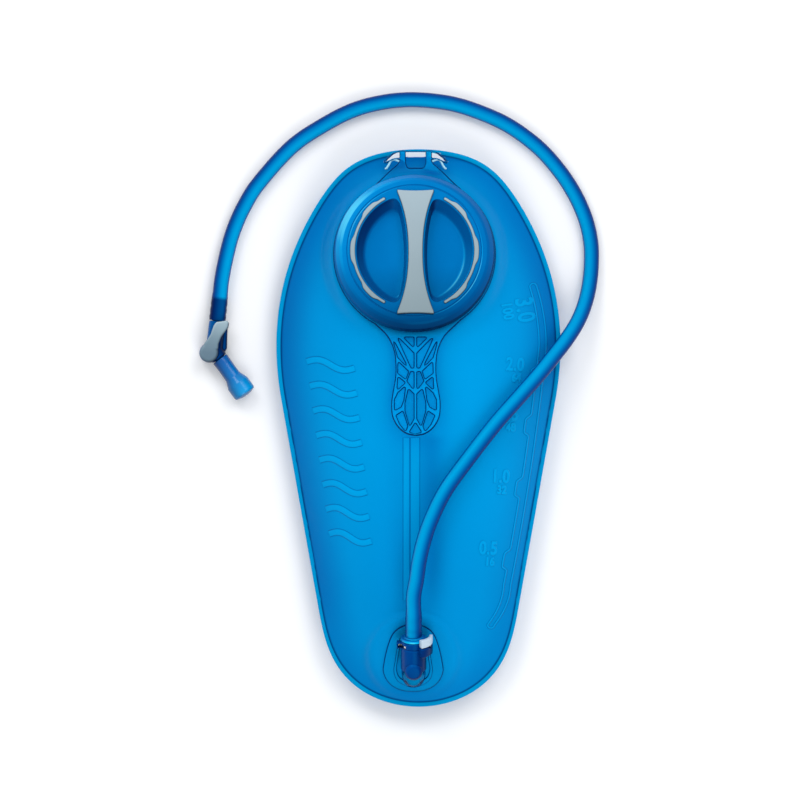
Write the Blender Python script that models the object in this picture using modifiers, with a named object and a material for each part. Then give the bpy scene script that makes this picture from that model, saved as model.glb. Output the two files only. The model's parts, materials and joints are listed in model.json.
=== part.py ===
"""Hydration bladder: a filled soft reservoir on its back, with its screw lid, carry yoke, quick-link exit
port and drink tube. Metres, +Z up. X is across the bag, +Y runs to its hanging end, and z = 0 is the flat back.
"""
from math import cos, exp, pi, radians, sin, sqrt, tan

import bmesh
import bpy
from mathutils import Matrix, Vector
from mathutils.bvhtree import BVHTree

MM = 0.001
GAP = 0.3 * MM  # clearance between touching pieces
ROUND = 36  # sides of the large turned pieces

# Bag
BAG_HALF_LENGTH = 210 * MM
BAG_HALF_WIDTH = 107.1 * MM
BAG_TOP_Y = 204.5 * MM
TOP_CORNER_Y = 200 * MM
WIDEST_Y = 62.2 * MM
TAPER_Y = 22.2 * MM
TAPER_WIDTH = 103.5 * MM
TAPER_SLOPE = 0.178
FOOT_Y = -130 * MM
WELD_WIDTH = 3.5 * MM
FILM = 1.0 * MM
SEAM_Z = 20 * MM
SEAM_RISE = 6 * MM  # how much higher the seam lies at the top, where the port's ring holds it up
CREST_RISE = 38 * MM
CREST_Y = 60 * MM
SPINE_LOW_Y = -125 * MM
SPINE_HIGH_Y = 60 * MM
RIM_POINTS = 22  # points on each side's outline
FRONT_RINGS = (1, 0.93, 0.82, 0.69, 0.54, 0.39, 0.25, 0.12, 0)
BACK_RINGS = (1, 0.92, 0.82, 0.7, 0.5, 0)
BACK_FLAT_SHARE = 0.5  # of the front's rise, where the back meets the floor

# Baffle that holds front and back together
BAFFLE_X = -5.4 * MM
BAFFLE_WIDTH = 12.3 * MM
BAFFLE_WEB = 1.2 * MM
BAFFLE_LOW_Y = -126 * MM
BAFFLE_HIGH_Y = -8 * MM
BAFFLE_DIP = 8 * MM
BAFFLE_DIP_WIDTH = 16 * MM

# Fill port and lid, in the port's own frame: z is the height above the film
PORT_AT = Vector((-3 * MM, 129.3 * MM, 46 * MM))
PORT_TILT = radians(11.5)
PORT_DISC_R = 60 * MM
PORT_BLEND_R = 71.5 * MM
PORT_HOLE_R = 47 * MM
NECK_BORE_R = 43.5 * MM
NECK_R = 46.5 * MM
NECK_TOP = 14.5 * MM
NECK_FOOT = -3 * MM
FLANGE_R = 58 * MM
FLANGE_TOP = 2 * MM
THREAD_LEAD = 16 * MM
THREAD_STARTS = 4
THREAD_SPAN = radians(50)
THREAD_DEPTH = 1.5 * MM
THREAD_HEIGHT = 1.4 * MM
NECK_THREAD_Z = 10.5 * MM
LID_RIM_R = 56.5 * MM
LID_FOOT_R = 53.5 * MM
LID_FOOT = 6.3 * MM
LID_TOP = 18.5 * MM
LID_SKIRT_BORE_R = 49.2 * MM
LID_CEILING = 16.5 * MM
DISH_TOP_R = 43.5 * MM
DISH_FLOOR_R = 37 * MM
DISH_FLOOR = 6 * MM
DISH_UNDER = 4 * MM
GRIP_SEAT = 17.6 * MM
GRIP_TOP = 20.6 * MM
BAR_OFFSET = Vector((0.7 * MM, 0.4 * MM))
BAR_HALF_LENGTH = 45.7 * MM
BAR_WAIST = 5.3 * MM
BAR_END = 13.6 * MM
BAR_BORDER = 1 * MM
ARC_R = 46.05 * MM
ARC_HALF_WIDTH = 1.75 * MM
ARC_SPAN = radians(60)
ARC_TOP = 19.3 * MM
ARC_BUMP = 0.9 * MM

# Yoke: ring, hanging tab and carry handle, in the port's frame
YOKE_RING_BORE_R = 50 * MM
YOKE_RING_R = 61 * MM
YOKE_FOOT = 2.3 * MM
YOKE_TOP = 6 * MM
TAB_TOP_Z = 5.3 * MM
HANDLE_BEND_Y = -67 * MM
HANDLE_BEND = radians(6.4)  # the handle bends down by this much, to keep a finger's room over the film
HANDLE_X = 1 * MM
LATTICE_DEPTH = 2 * MM

# Exit port, in its own frame: y runs up the bag and z is the height above the film
EXIT_AT = Vector((-4 * MM, -172 * MM, 34 * MM))
EXIT_TILT = radians(20)
EXIT_DISC_R = 31 * MM
EXIT_BLEND_R = 38 * MM
EXIT_HOLE_R = 7 * MM
EXIT_WELL_Y = -11.5 * MM
CONNECTOR_X = 0.3 * MM
CONNECTOR_Z = 12.8 * MM

# Quick link, along the connector's axis
SOCKET_R = 9.7 * MM
SOCKET_FRONT = 18.9 * MM
SOCKET_GROOVE = 13.2 * MM
SPIGOT_R = 7.2 * MM
SPIGOT_START = -4.3 * MM
SPIGOT_END = -9 * MM
SPIGOT_SEAL = -6.8 * MM
PLUG_BORE_R = 6.2 * MM
SEAT_FRONT = 1.9 * MM
SEAT_BACK = 0.7 * MM
SEAT_R = 3.4 * MM
CHAMBER_R = 5.4 * MM
LATCH_MIN = 14.4 * MM
LATCH_MAX = 16.6 * MM
LATCH_HALF = 7.4 * MM
PLUG_NOSE = 3.2 * MM
PLUG_R = 5.8 * MM
COLLAR_BACK = 19.2 * MM
STEM_START = 21.6 * MM
STEM_END = 40.4 * MM
BARB_ROOT_R = 3.9 * MM
BARB_R = 5 * MM
BARB_PITCH = 5.6 * MM
BUTTON_INNER_R = 12.1 * MM
BUTTON_OUTER_R = 14.6 * MM
BUTTON_FROM = -radians(25)
BUTTON_TO = radians(60)
BUTTON_BACK = 16.9 * MM
BUTTON_FRONT = 23.6 * MM

# Drink tube and mouthpiece
TUBE_R = 5.75 * MM
VALVE_AT = Vector((-158 * MM, 56.8 * MM, 9.2 * MM))
INLET_OFFSET = Vector((3.4 * MM, 0, 0))  # both arms run to the right of the lever's axis
INLET_DIRECTION = Vector((0.11, 0.994, 0)).normalized()
OUTLET_OFFSET = Vector((3.2 * MM, 2.3 * MM, 0))
OUTLET_DIRECTION = Vector((0.585, -0.811, 0)).normalized()
INLET_R = 6.1 * MM
INLET_SHOULDER = 24 * MM
INLET_TIP = 42.3 * MM
OUTLET_R = 6.6 * MM
OUTLET_SHOULDER = 8 * MM
OUTLET_TIP = 18 * MM
VALVE_HUB_R = 8.2 * MM
VALVE_HUB_TOP = 7.4 * MM
DRUM_POCKET_R = 5.4 * MM
DRUM_R = 5 * MM
DRUM_INLET = Vector((3.6, 4.0, 0)).normalized()  # towards where each arm's bore meets the drum
DRUM_OUTLET = Vector((5.3, -0.7, 0)).normalized()
WATERWAY_R = 2.5 * MM
LEVER_BASE = 7.8 * MM
LEVER_TOP = 10.4 * MM
LEVER_DISC_R = 6.9 * MM
LEVER_DIRECTION = Vector((0.179, 0.984, 0)).normalized()
PADDLE_FOOT = 0 * MM

BLUE_CLEAR = (0.0, 0.33, 0.72)
BLUE_DEEP = (0.0, 0.08, 0.30)
GREY = (0.40, 0.46, 0.50)

PARTS = "hydration_bladder"
CUTTERS = "cutters"


def clear_scene():
    for obj in list(bpy.data.objects):
        bpy.data.objects.remove(obj, do_unlink=True)
    for name in (PARTS, CUTTERS):
        collection = bpy.data.collections.new(name)
        bpy.context.scene.collection.children.link(collection)


# Materials and objects


def material(name, colour, roughness=0.3):
    made = bpy.data.materials.new(name)
    made.use_nodes = True
    shader = made.node_tree.nodes["Principled BSDF"]
    shader.inputs["Base Color"].default_value = (*colour, 1)
    shader.inputs["Roughness"].default_value = roughness
    shader.inputs["Metallic"].default_value = 0
    return made


def metal(name, colour=(0.6, 0.6, 0.62)):
    made = material(name, colour, 0.25)
    made.node_tree.nodes["Principled BSDF"].inputs["Metallic"].default_value = 1
    return made


def frame_empty(name, location, rotation=(0, 0, 0), parent=None):
    empty = bpy.data.objects.new(name, None)
    empty.location = location
    empty.rotation_euler = rotation
    empty.parent = parent
    bpy.data.collections[PARTS].objects.link(empty)
    return empty


frames = {}  # the empties on the axes that the parts are modelled round and move along


def place_frames():
    port = frame_empty("port_axis", PORT_AT, (-PORT_TILT, 0, 0))
    lid = frame_empty("lid_axis", (0, 0, 0), parent=port)
    handle = frame_empty("handle_bend", (0, HANDLE_BEND_Y, 0), (HANDLE_BEND, 0, 0), port)
    exit_frame = frame_empty("exit_axis", EXIT_AT, (EXIT_TILT, 0, 0))
    along = (-pi / 2, 0, 0)
    connector = frame_empty("connector_axis", (CONNECTOR_X, 0, CONNECTOR_Z), along, exit_frame)
    plug = frame_empty("plug_axis", (0, 0, 0), parent=connector)
    poppet = frame_empty("poppet_axis", (0, 0, 0), parent=connector)
    valve = frame_empty("valve_hub", VALVE_AT)
    lever = frame_empty("lever_axis", (0, 0, 0), parent=valve)
    turn = INLET_DIRECTION.to_track_quat("Z", "Y").to_euler()
    inlet = frame_empty("inlet_axis", INLET_OFFSET, turn, valve)
    turn = OUTLET_DIRECTION.to_track_quat("Z", "Y").to_euler()
    outlet = frame_empty("outlet_axis", OUTLET_OFFSET, turn, valve)
    frames.update(
        port=port, lid=lid, handle=handle, exit=exit_frame, connector=connector, plug=plug,
        poppet=poppet, valve=valve, lever=lever, inlet=inlet, outlet=outlet,
    )
    bpy.context.view_layer.update()


def add_object(name, data, parent=None, look=None):
    """An object for a sub-part, or for a cutter where it has no material."""
    obj = bpy.data.objects.new(name, data)
    obj.parent = parent
    if look is None:
        obj.hide_render = True
        obj.display_type = "WIRE"
        bpy.data.collections[CUTTERS].objects.link(obj)
    else:
        data.materials.append(look)
        bpy.data.collections[PARTS].objects.link(obj)
    return obj


def boolean(obj, other, operation="DIFFERENCE"):
    modifier = obj.modifiers.new(operation.title(), "BOOLEAN")
    modifier.operation = operation
    modifier.solver = "EXACT"
    modifier.object = other


def turned(name, profile, steps=48, parent=None, look=None, closed=True):
    """A profile of (radius, height) pairs turned about the local Z axis."""
    mesh = bpy.data.meshes.new(name)
    edges = [(i, i + 1) for i in range(len(profile) - 1)]
    if closed:
        edges.append((len(profile) - 1, 0))
    mesh.from_pydata([(r, 0, z) for r, z in profile], edges, [])
    obj = add_object(name, mesh, parent, look)
    screw = obj.modifiers.new("Turn", "SCREW")
    screw.steps = steps
    screw.render_steps = steps
    screw.use_merge_vertices = True
    screw.merge_threshold = 0.00001
    screw.use_smooth_shade = True
    return obj


def box(name, low, high, parent=None, look=None):
    bm = bmesh.new()
    size = Vector(high) - Vector(low)
    centre = (Vector(high) + Vector(low)) / 2
    bmesh.ops.create_cube(bm, size=1, matrix=Matrix.Translation(centre) @ Matrix.Diagonal((*size, 1)))
    mesh = bpy.data.meshes.new(name)
    bm.to_mesh(mesh)
    bm.free()
    return add_object(name, mesh, parent, look)


def rod(name, start, end, radius, steps=32, parent=None, look=None, end_radius=None):
    """A round bar between two points."""
    bm = bmesh.new()
    along = Vector(end) - Vector(start)
    turn = along.to_track_quat("Z", "Y").to_matrix().to_4x4()
    place = Matrix.Translation((Vector(start) + Vector(end)) / 2) @ turn
    bmesh.ops.create_cone(
        bm,
        cap_ends=True,
        segments=steps,
        radius1=radius,
        radius2=end_radius or radius,
        depth=along.length,
        matrix=place,
    )
    mesh = bpy.data.meshes.new(name)
    bm.to_mesh(mesh)
    bm.free()
    mesh.shade_smooth()
    mesh.set_sharp_from_angle(angle=radians(35))
    return add_object(name, mesh, parent, look)


def plate(name, outline, low, high, parent=None, look=None):
    """A flat outline of (x, y) points between two local heights, as a closed mesh."""
    curve = bpy.data.curves.new(name, "CURVE")
    curve.dimensions = "2D"
    curve.fill_mode = "BOTH"
    curve.extrude = (high - low) / 2
    spline = curve.splines.new("POLY")
    spline.points.add(len(outline) - 1)
    for point, (x, y) in zip(spline.points, outline):
        point.co = (x, y, 0, 1)
    spline.use_cyclic_u = True
    source = bpy.data.objects.new(name, curve)
    bpy.context.scene.collection.objects.link(source)
    evaluated = source.evaluated_get(bpy.context.evaluated_depsgraph_get())
    mesh = bpy.data.meshes.new_from_object(evaluated)
    bpy.data.objects.remove(source, do_unlink=True)
    bpy.data.curves.remove(curve)
    bm = bmesh.new()
    bm.from_mesh(mesh)
    bmesh.ops.remove_doubles(bm, verts=bm.verts, dist=0.000005)
    bmesh.ops.translate(bm, verts=bm.verts, vec=(0, 0, (high + low) / 2))
    bmesh.ops.recalc_face_normals(bm, faces=bm.faces)
    bm.to_mesh(mesh)
    bm.free()
    mesh.materials.clear()
    return add_object(name, mesh, parent, look)


def smooth_through(points, per_span, closed=False):
    """Points on a Catmull-Rom curve through the given ones."""
    points = [Vector(p) for p in points]
    count = len(points)
    spans = count if closed else count - 1
    found = []
    for i in range(spans):
        a, b, c, d = (
            points[(i + k) % count] if closed else points[min(max(i + k, 0), count - 1)]
            for k in (-1, 0, 1, 2)
        )
        for step in range(per_span):
            t = step / per_span
            cubic = 2 * b + (c - a) * t + (2 * a - 5 * b + 4 * c - d) * t**2 + (3 * b - a - 3 * c + d) * t**3
            found.append(0.5 * cubic)
    if not closed:
        found.append(points[-1])
    return found


def arc_points(radius, start, end, count, centre=(0, 0)):
    angles = [start + (end - start) * i / count for i in range(count + 1)]
    return [(centre[0] + radius * cos(a), centre[1] + radius * sin(a)) for a in angles]


def resample(points, count):
    """Points at equal distances along a run of points."""
    lengths = [0]
    for a, b in zip(points, points[1:]):
        lengths.append(lengths[-1] + (Vector(b) - Vector(a)).length)
    found = []
    at = 0
    for i in range(count + 1):
        wanted = lengths[-1] * i / count
        while at < len(points) - 2 and lengths[at + 1] < wanted:
            at += 1
        share = (wanted - lengths[at]) / (lengths[at + 1] - lengths[at])
        found.append(Vector(points[at]).lerp(Vector(points[at + 1]), min(max(share, 0), 1)))
    return found


# The bag's shape


def half_width(y):
    """Half the bag's width at a height y, weld included."""
    if y >= BAG_TOP_Y or y <= -BAG_HALF_LENGTH:
        return 0
    if y > TOP_CORNER_Y:
        corner = (y - TOP_CORNER_Y) / (BAG_TOP_Y - TOP_CORNER_Y)
        return half_width(TOP_CORNER_Y) * (1 - corner**2.5) ** 0.4
    if y >= WIDEST_Y:
        t = (y - WIDEST_Y) / (BAG_HALF_LENGTH - WIDEST_Y)
        return BAG_HALF_WIDTH * sqrt(1 - t**2) * (1 + 0.38 * t**8)
    if y >= TAPER_Y:
        return BAG_HALF_WIDTH - (BAG_HALF_WIDTH - TAPER_WIDTH) * ((WIDEST_Y - y) / (WIDEST_Y - TAPER_Y)) ** 2
    tapered = TAPER_WIDTH - TAPER_SLOPE * (TAPER_Y - y)
    if y >= FOOT_Y:
        return tapered
    foot = (FOOT_Y - y) / (FOOT_Y + BAG_HALF_LENGTH)
    return tapered * sqrt(1 - foot**3.5)


def inner_half_width(y):
    """Half the width inside the weld."""
    low = -BAG_HALF_LENGTH + WELD_WIDTH
    high = BAG_TOP_Y - WELD_WIDTH
    if y <= low or y >= high:
        return 0
    stretched = -BAG_HALF_LENGTH + (y - low) * (BAG_TOP_Y + BAG_HALF_LENGTH) / (high - low)
    return half_width(stretched) * (1 - WELD_WIDTH / BAG_HALF_WIDTH)


def fullness(x, y):
    """1 at the crest and 0 on the weld."""
    width = inner_half_width(y)
    if width <= abs(x):
        return 0
    end = BAG_TOP_Y - WELD_WIDTH if y > CREST_Y else -BAG_HALF_LENGTH + WELD_WIDTH
    power = 1.6 if y > CREST_Y else 3
    along = min(abs((y - CREST_Y) / (end - CREST_Y)), 1)
    return (1 - (abs(x) / width) ** 2.3) * (1 - along**power)


def smoothstep(value):
    value = min(max(value, 0), 1)
    return value * value * (3 - 2 * value)


def seam_height(y):
    return SEAM_Z + SEAM_RISE * smoothstep((y - 100 * MM) / (BAG_TOP_Y - 100 * MM))


def patch(x, y, height, at, tilt, disc, blend):
    """The height, flattened to a port's tilted disc near that port."""
    away = sqrt((x - at.x) ** 2 + ((y - at.y) / cos(tilt)) ** 2)
    flat = at.z - (y - at.y) * tan(tilt)
    share = smoothstep((blend - away) / (blend - disc))
    return height + (flat - height) * share


def front_height(x, y):
    """Height of the front film's outer side."""
    height = seam_height(y) + CREST_RISE * fullness(x, y)
    middle = (BAFFLE_LOW_Y + BAFFLE_HIGH_Y) / 2
    along = smoothstep(1.35 - abs(y - middle) / (BAFFLE_HIGH_Y - middle))
    height -= BAFFLE_DIP * along * exp(-(((x - BAFFLE_X) / BAFFLE_DIP_WIDTH) ** 2))
    height = patch(x, y, height, PORT_AT, PORT_TILT, PORT_DISC_R, PORT_BLEND_R)
    return patch(x, y, height, EXIT_AT, -EXIT_TILT, EXIT_DISC_R, EXIT_BLEND_R)


def back_height(x, y):
    """Height of the back film's outer side, which is flat on the floor in the middle."""
    share = min(fullness(x, y) / BACK_FLAT_SHARE, 1)
    return (seam_height(y) - GAP - FILM * 2) * (1 - share) ** 1.3


def side_outline(width_of, low, high):
    """Points up the right side of an outline, evenly spaced."""
    fine = 400
    middle = (low + high) / 2
    heights = [middle - (high - low) / 2 * cos(pi * i / fine) for i in range(fine + 1)]
    return resample([(width_of(y), y) for y in heights], RIM_POINTS)


def film_rings(rings):
    """Rings of (x, y) points: the weld's outer edge, its inner edge, then in to the spine."""
    outer = side_outline(half_width, -BAG_HALF_LENGTH, BAG_TOP_Y)
    inner = side_outline(inner_half_width, -BAG_HALF_LENGTH + WELD_WIDTH, BAG_TOP_Y - WELD_WIDTH)
    length = SPINE_HIGH_Y - SPINE_LOW_Y
    spine = [Vector((0, SPINE_LOW_Y + length * i / RIM_POINTS)) for i in range(RIM_POINTS + 1)]
    sides = [outer] + [[s.lerp(p, ring) for s, p in zip(spine, inner)] for ring in rings]
    return [side + [Vector((-p.x, p.y)) for p in reversed(side[1:-1])] for side in sides]


def film_surface(rings, height_of):
    bm = bmesh.new()
    loops = [[bm.verts.new((p.x, p.y, height_of(p.x, p.y))) for p in ring] for ring in film_rings(rings)]
    for outer, inner in zip(loops, loops[1:]):
        for i in range(len(outer)):
            j = (i + 1) % len(outer)
            bm.faces.new((outer[i], outer[j], inner[j], inner[i]))
    bmesh.ops.remove_doubles(bm, verts=bm.verts, dist=0.00001)
    return bm


def film(name, rings, height_of, up, look):
    """A welded film: its outer side as an open surface, thickened inwards."""
    bm = film_surface(rings, height_of)
    if not up:
        bmesh.ops.reverse_faces(bm, faces=bm.faces)
    mesh = bpy.data.meshes.new(name)
    bm.to_mesh(mesh)
    bm.free()
    mesh.shade_smooth()
    obj = add_object(name, mesh, None, look)
    solidify = obj.modifiers.new("Thickness", "SOLIDIFY")
    solidify.thickness = FILM
    solidify.offset = -1
    return obj


def front_film():
    obj = film("front_film", FRONT_RINGS, front_height, True, material("front_film", BLUE_CLEAR))
    boolean(obj, rod("port_hole", (0, 0, -12 * MM), (0, 0, 8 * MM), PORT_HOLE_R, 40, frames["port"]))
    well = (CONNECTOR_X, EXIT_WELL_Y)
    boolean(obj, rod("exit_hole", (*well, -6 * MM), (*well, 4 * MM), EXIT_HOLE_R, 24, frames["exit"]))


def back_film():
    film("back_film", BACK_RINGS, back_height, False, material("back_film", BLUE_CLEAR))


def baffle_strip():
    """An I-section web between the films, lofted along the bag under the dip in the front."""
    bm = film_surface(FRONT_RINGS, front_height)
    surface = BVHTree.FromBMesh(bm)
    bm.free()
    stations = 9
    foot = 1 * MM
    half = BAFFLE_WIDTH / 2
    web = BAFFLE_WEB / 2
    bm = bmesh.new()
    sections = []
    for i in range(stations + 1):
        y = BAFFLE_LOW_Y + (BAFFLE_HIGH_Y - BAFFLE_LOW_Y) * i / stations
        around = [(BAFFLE_X + dx * half, y + dy * MM) for dx in (-1, -0.5, 0, 0.5, 1) for dy in (-7, 0, 7)]
        lowest = min(surface.ray_cast(Vector((px, py, 1)), Vector((0, 0, -1)))[0].z for px, py in around)
        top = lowest - FILM * 1.1 - GAP
        low = FILM + GAP
        section = [
            (half, low), (half, low + foot), (web, low + foot),
            (web, top - foot), (half, top - foot), (half, top),
        ]
        section += [(-x, z) for x, z in reversed(section)]
        sections.append([bm.verts.new((BAFFLE_X + x, y, z)) for x, z in section])
    for a, b in zip(sections, sections[1:]):
        for i in range(len(a)):
            j = (i + 1) % len(a)
            bm.faces.new((a[i], b[i], b[j], a[j]))
    bm.faces.new(sections[0])
    bm.faces.new(reversed(sections[-1]))
    bmesh.ops.recalc_face_normals(bm, faces=bm.faces)
    mesh = bpy.data.meshes.new("baffle_strip")
    bm.to_mesh(mesh)
    bm.free()
    add_object("baffle_strip", mesh, None, material("baffle_strip", BLUE_CLEAR))


# Fill port, lid and yoke


def thread_lug(name, middle, inner, outer, height, parent):
    """One lug of a right-hand thread, swept round the axis as a loft of square sections."""
    steps = 4
    bm = bmesh.new()
    sections = []
    for i in range(steps + 1):
        turn = (i / steps - 0.5) * THREAD_SPAN
        rise = height + THREAD_LEAD * turn / (2 * pi)
        across = Vector((cos(middle + turn), sin(middle + turn), 0))
        half = THREAD_HEIGHT / 2
        corners = ((inner, -half), (outer, -half), (outer, half), (inner, half))
        sections.append([bm.verts.new(across * r + Vector((0, 0, rise + z))) for r, z in corners])
    for a, b in zip(sections, sections[1:]):
        for i in range(4):
            j = (i + 1) % 4
            bm.faces.new((a[i], b[i], b[j], a[j]))
    bm.faces.new(sections[0])
    bm.faces.new(reversed(sections[-1]))
    bmesh.ops.recalc_face_normals(bm, faces=bm.faces)
    mesh = bpy.data.meshes.new(name)
    bm.to_mesh(mesh)
    bm.free()
    return add_object(name, mesh, parent)


def add_thread(obj, name, inner, outer, height, parent):
    for i in range(THREAD_STARTS):
        middle = 2 * pi * i / THREAD_STARTS
        boolean(obj, thread_lug(f"{name}_{i + 1}", middle, inner, outer, height, parent), "UNION")


def fill_port_neck():
    profile = [
        (NECK_R, NECK_TOP),
        (NECK_R, FLANGE_TOP),
        (FLANGE_R, FLANGE_TOP),
        (FLANGE_R, GAP),
        (NECK_R, GAP),
        (NECK_R, NECK_FOOT),
        (NECK_BORE_R, NECK_FOOT),
        (NECK_BORE_R, NECK_TOP),
    ]
    neck = turned("fill_port_neck", profile, ROUND, frames["port"], material("fill_port_neck", BLUE_CLEAR))
    overlap = 0.5 * MM
    add_thread(neck, "neck_lug", NECK_R - overlap, NECK_R + THREAD_DEPTH, NECK_THREAD_Z, frames["port"])


def bar_half_width(y):
    return BAR_WAIST + (BAR_END - BAR_WAIST) * (abs(y) / BAR_HALF_LENGTH) ** 2.2


def bar_outline(half_length, extra):
    """The hourglass outline of the lid's turning bar."""
    steps = 8
    right = []
    for i in range(-steps, steps + 1):
        y = half_length * i / steps
        right.append((bar_half_width(y) + extra, y))
    left = [(-x, y) for x, y in reversed(right)]
    return [(x + BAR_OFFSET.x, y + BAR_OFFSET.y) for x, y in right + left]


def arc_outline(extra):
    """One curved grip on the +X side: a band with three swellings on its outer side."""
    steps = 24
    reach = ARC_SPAN + extra / ARC_R
    outer = []
    inner = []
    for i in range(steps + 1):
        angle = -reach + 2 * reach * i / steps
        bump = max(exp(-(((angle - at) / radians(5)) ** 2)) for at in (-radians(45), 0, radians(45)))
        outer_r = ARC_R + ARC_HALF_WIDTH + ARC_BUMP * bump + extra
        inner_r = ARC_R - ARC_HALF_WIDTH - extra
        outer.append((outer_r * cos(angle), outer_r * sin(angle)))
        inner.append((inner_r * cos(angle), inner_r * sin(angle)))
    return outer + inner[::-1]


def lid_shell():
    profile = [
        (0, DISH_FLOOR),
        (DISH_FLOOR_R, DISH_FLOOR),
        (DISH_TOP_R, LID_TOP),
        (LID_RIM_R - 1 * MM, LID_TOP),
        (LID_RIM_R, LID_TOP - 1 * MM),
        (LID_RIM_R, LID_TOP - 3 * MM),
        (LID_FOOT_R, LID_FOOT),
        (LID_SKIRT_BORE_R, LID_FOOT),
        (LID_SKIRT_BORE_R, LID_CEILING),
        (43.4 * MM, LID_CEILING),
        (42.9 * MM, 14.3 * MM),
        (38.8 * MM, DISH_UNDER),
        (0, DISH_UNDER),
    ]
    port = frames["lid"]
    lid = turned("lid_shell", profile, ROUND, port, material("lid_shell", BLUE_DEEP), closed=False)
    core = bar_outline(BAR_HALF_LENGTH - 1 * MM, BAR_BORDER)
    bar = plate("lid_bar_core", core, DISH_FLOOR - 0.5 * MM, LID_TOP + MM, port)
    limit = [(0, LID_TOP), (44.5 * MM, LID_TOP), (42.7 * MM, 14.3 * MM), (38.9 * MM, 4.7 * MM), (0, 4.7 * MM)]
    boolean(bar, turned("dish_limit", limit, ROUND, port, closed=False), "INTERSECT")
    boolean(lid, bar, "UNION")
    lug_z = NECK_THREAD_Z - THREAD_LEAD / THREAD_STARTS / 2
    add_thread(lid, "lid_lug", NECK_R + 0.7 * MM, LID_SKIRT_BORE_R + 0.5 * MM, lug_z, port)
    boolean(lid, plate("bar_seat", bar_outline(BAR_HALF_LENGTH + GAP, GAP), GRIP_SEAT, GRIP_TOP + MM, port))
    groove = plate("arc_groove_right", arc_outline(GAP), GRIP_SEAT, GRIP_TOP + MM, port)
    boolean(lid, groove)
    other = add_object("arc_groove_left", groove.data, port)
    other.rotation_euler.z = pi
    boolean(lid, other)


def lid_grips():
    port = frames["lid"]
    base = GRIP_SEAT + GAP
    look = material("lid_grip_bar", GREY, 0.5)
    bar = plate("lid_grip_bar", bar_outline(BAR_HALF_LENGTH, 0), base, GRIP_TOP, port, look)
    soften(bar, 0.5 * MM, 1)
    outline = arc_outline(0)
    for side, turn in (("right", 0), ("left", pi)):
        name = f"lid_grip_arc_{side}"
        arc = plate(name, outline, base, ARC_TOP, port, material(name, GREY, 0.5))
        arc.rotation_euler.z = turn


def soften(obj, width, segments):
    bevel = obj.modifiers.new("Soft edges", "BEVEL")
    bevel.width = width
    bevel.segments = segments
    bevel.limit_method = "ANGLE"
    bevel.angle_limit = radians(50)


def lid_gasket():
    inner = 43.9 * MM
    outer = 48.4 * MM
    low = NECK_TOP + GAP
    high = LID_CEILING - GAP
    profile = [(outer, high), (outer, low), (inner, low), (inner, high)]
    turned("lid_gasket", profile, ROUND, frames["lid"], material("lid_gasket", (0.1, 0.1, 0.11), 0.6))


def tab_outline():
    """The hanging tab: a column between two hooks that curl down from a thin top bar."""
    top = (BAG_HALF_LENGTH - PORT_AT.y - TAB_TOP_Z * sin(PORT_TILT)) / cos(PORT_TILT)
    x0 = 0.9 * MM
    right = [
        (31 * MM, 51.4 * MM),
        (25 * MM, 56.5 * MM),
        (16 * MM, 62 * MM),
        (11.8 * MM, 70 * MM),
        (11.8 * MM, 76.4 * MM),
        (13.5 * MM, 78.8 * MM),
        (19 * MM, 78.4 * MM),
        (20.5 * MM, 76 * MM),
        (21.2 * MM, 67 * MM),
        (23.2 * MM, 66.6 * MM),
        (23.4 * MM, 76 * MM),
        (21.5 * MM, top - 0.8 * MM),
        (17 * MM, top),
    ]
    left = [(-x, y) for x, y in reversed(right)]
    return [(x + x0, y) for x, y in right + left]


def tab_slot_outline():
    """The hanging slot, square at the top and round at the bottom."""
    half = 7.5 * MM
    x0 = 0.8 * MM
    round_y = 72.5 * MM
    top_y = 79 * MM
    return [(x0 + half, top_y), (x0 - half, top_y)] + arc_points(half, pi, 2 * pi, 10, (x0, round_y))


def handle_outline():
    """The carry handle's outline, from its ring to its rounded tip."""
    widths = [
        (40, -44), (31, -53), (22, -62), (17, -72), (15.4, -82), (15.5, -93), (17.3, -104),
        (18.5, -113), (17.6, -123), (13, -131), (6.5, -135.6), (0, -136.8),
    ]
    right = [(p.x, p.y) for p in smooth_through([(w * MM, y * MM) for w, y in widths], 2)]
    left = [(-x, y) for x, y in reversed(right[:-1])]
    return [(x + HANDLE_X, y) for x, y in right + left]


def crease(obj, bend_y, angle):
    """Bends a plate down past a line across it."""
    bm = bmesh.new()
    bm.from_mesh(obj.data)
    everything = bm.verts[:] + bm.edges[:] + bm.faces[:]
    bmesh.ops.bisect_plane(bm, geom=everything, plane_co=(0, bend_y, 0), plane_no=(0, 1, 0))
    for vertex in bm.verts:
        vertex.co.z -= tan(angle) * max(bend_y - vertex.co.y, 0)
    bm.to_mesh(obj.data)
    bm.free()


def lattice_pockets():
    """Recesses between the handle's ribs on its right half, as (x, y) corners from its centre line."""
    return [
        [(1.5, -75), (12.5, -64), (1.5, -64)],
        [(1.5, -84.5), (1.5, -78), (13, -67), (11.5, -77)],
        [(5, -91), (2.5, -86.5), (12, -79), (12.5, -88)],
        [(8.5, -94), (14, -90), (14, -101)],
        [(1.5, -118), (1.5, -103), (6.5, -96.5), (12.5, -104.5), (8, -113)],
        [(10, -114), (15, -107), (16, -114), (14.5, -119)],
        [(2.5, -126), (1.5, -122), (7, -116), (12, -122), (6.5, -129)],
    ]


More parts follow.
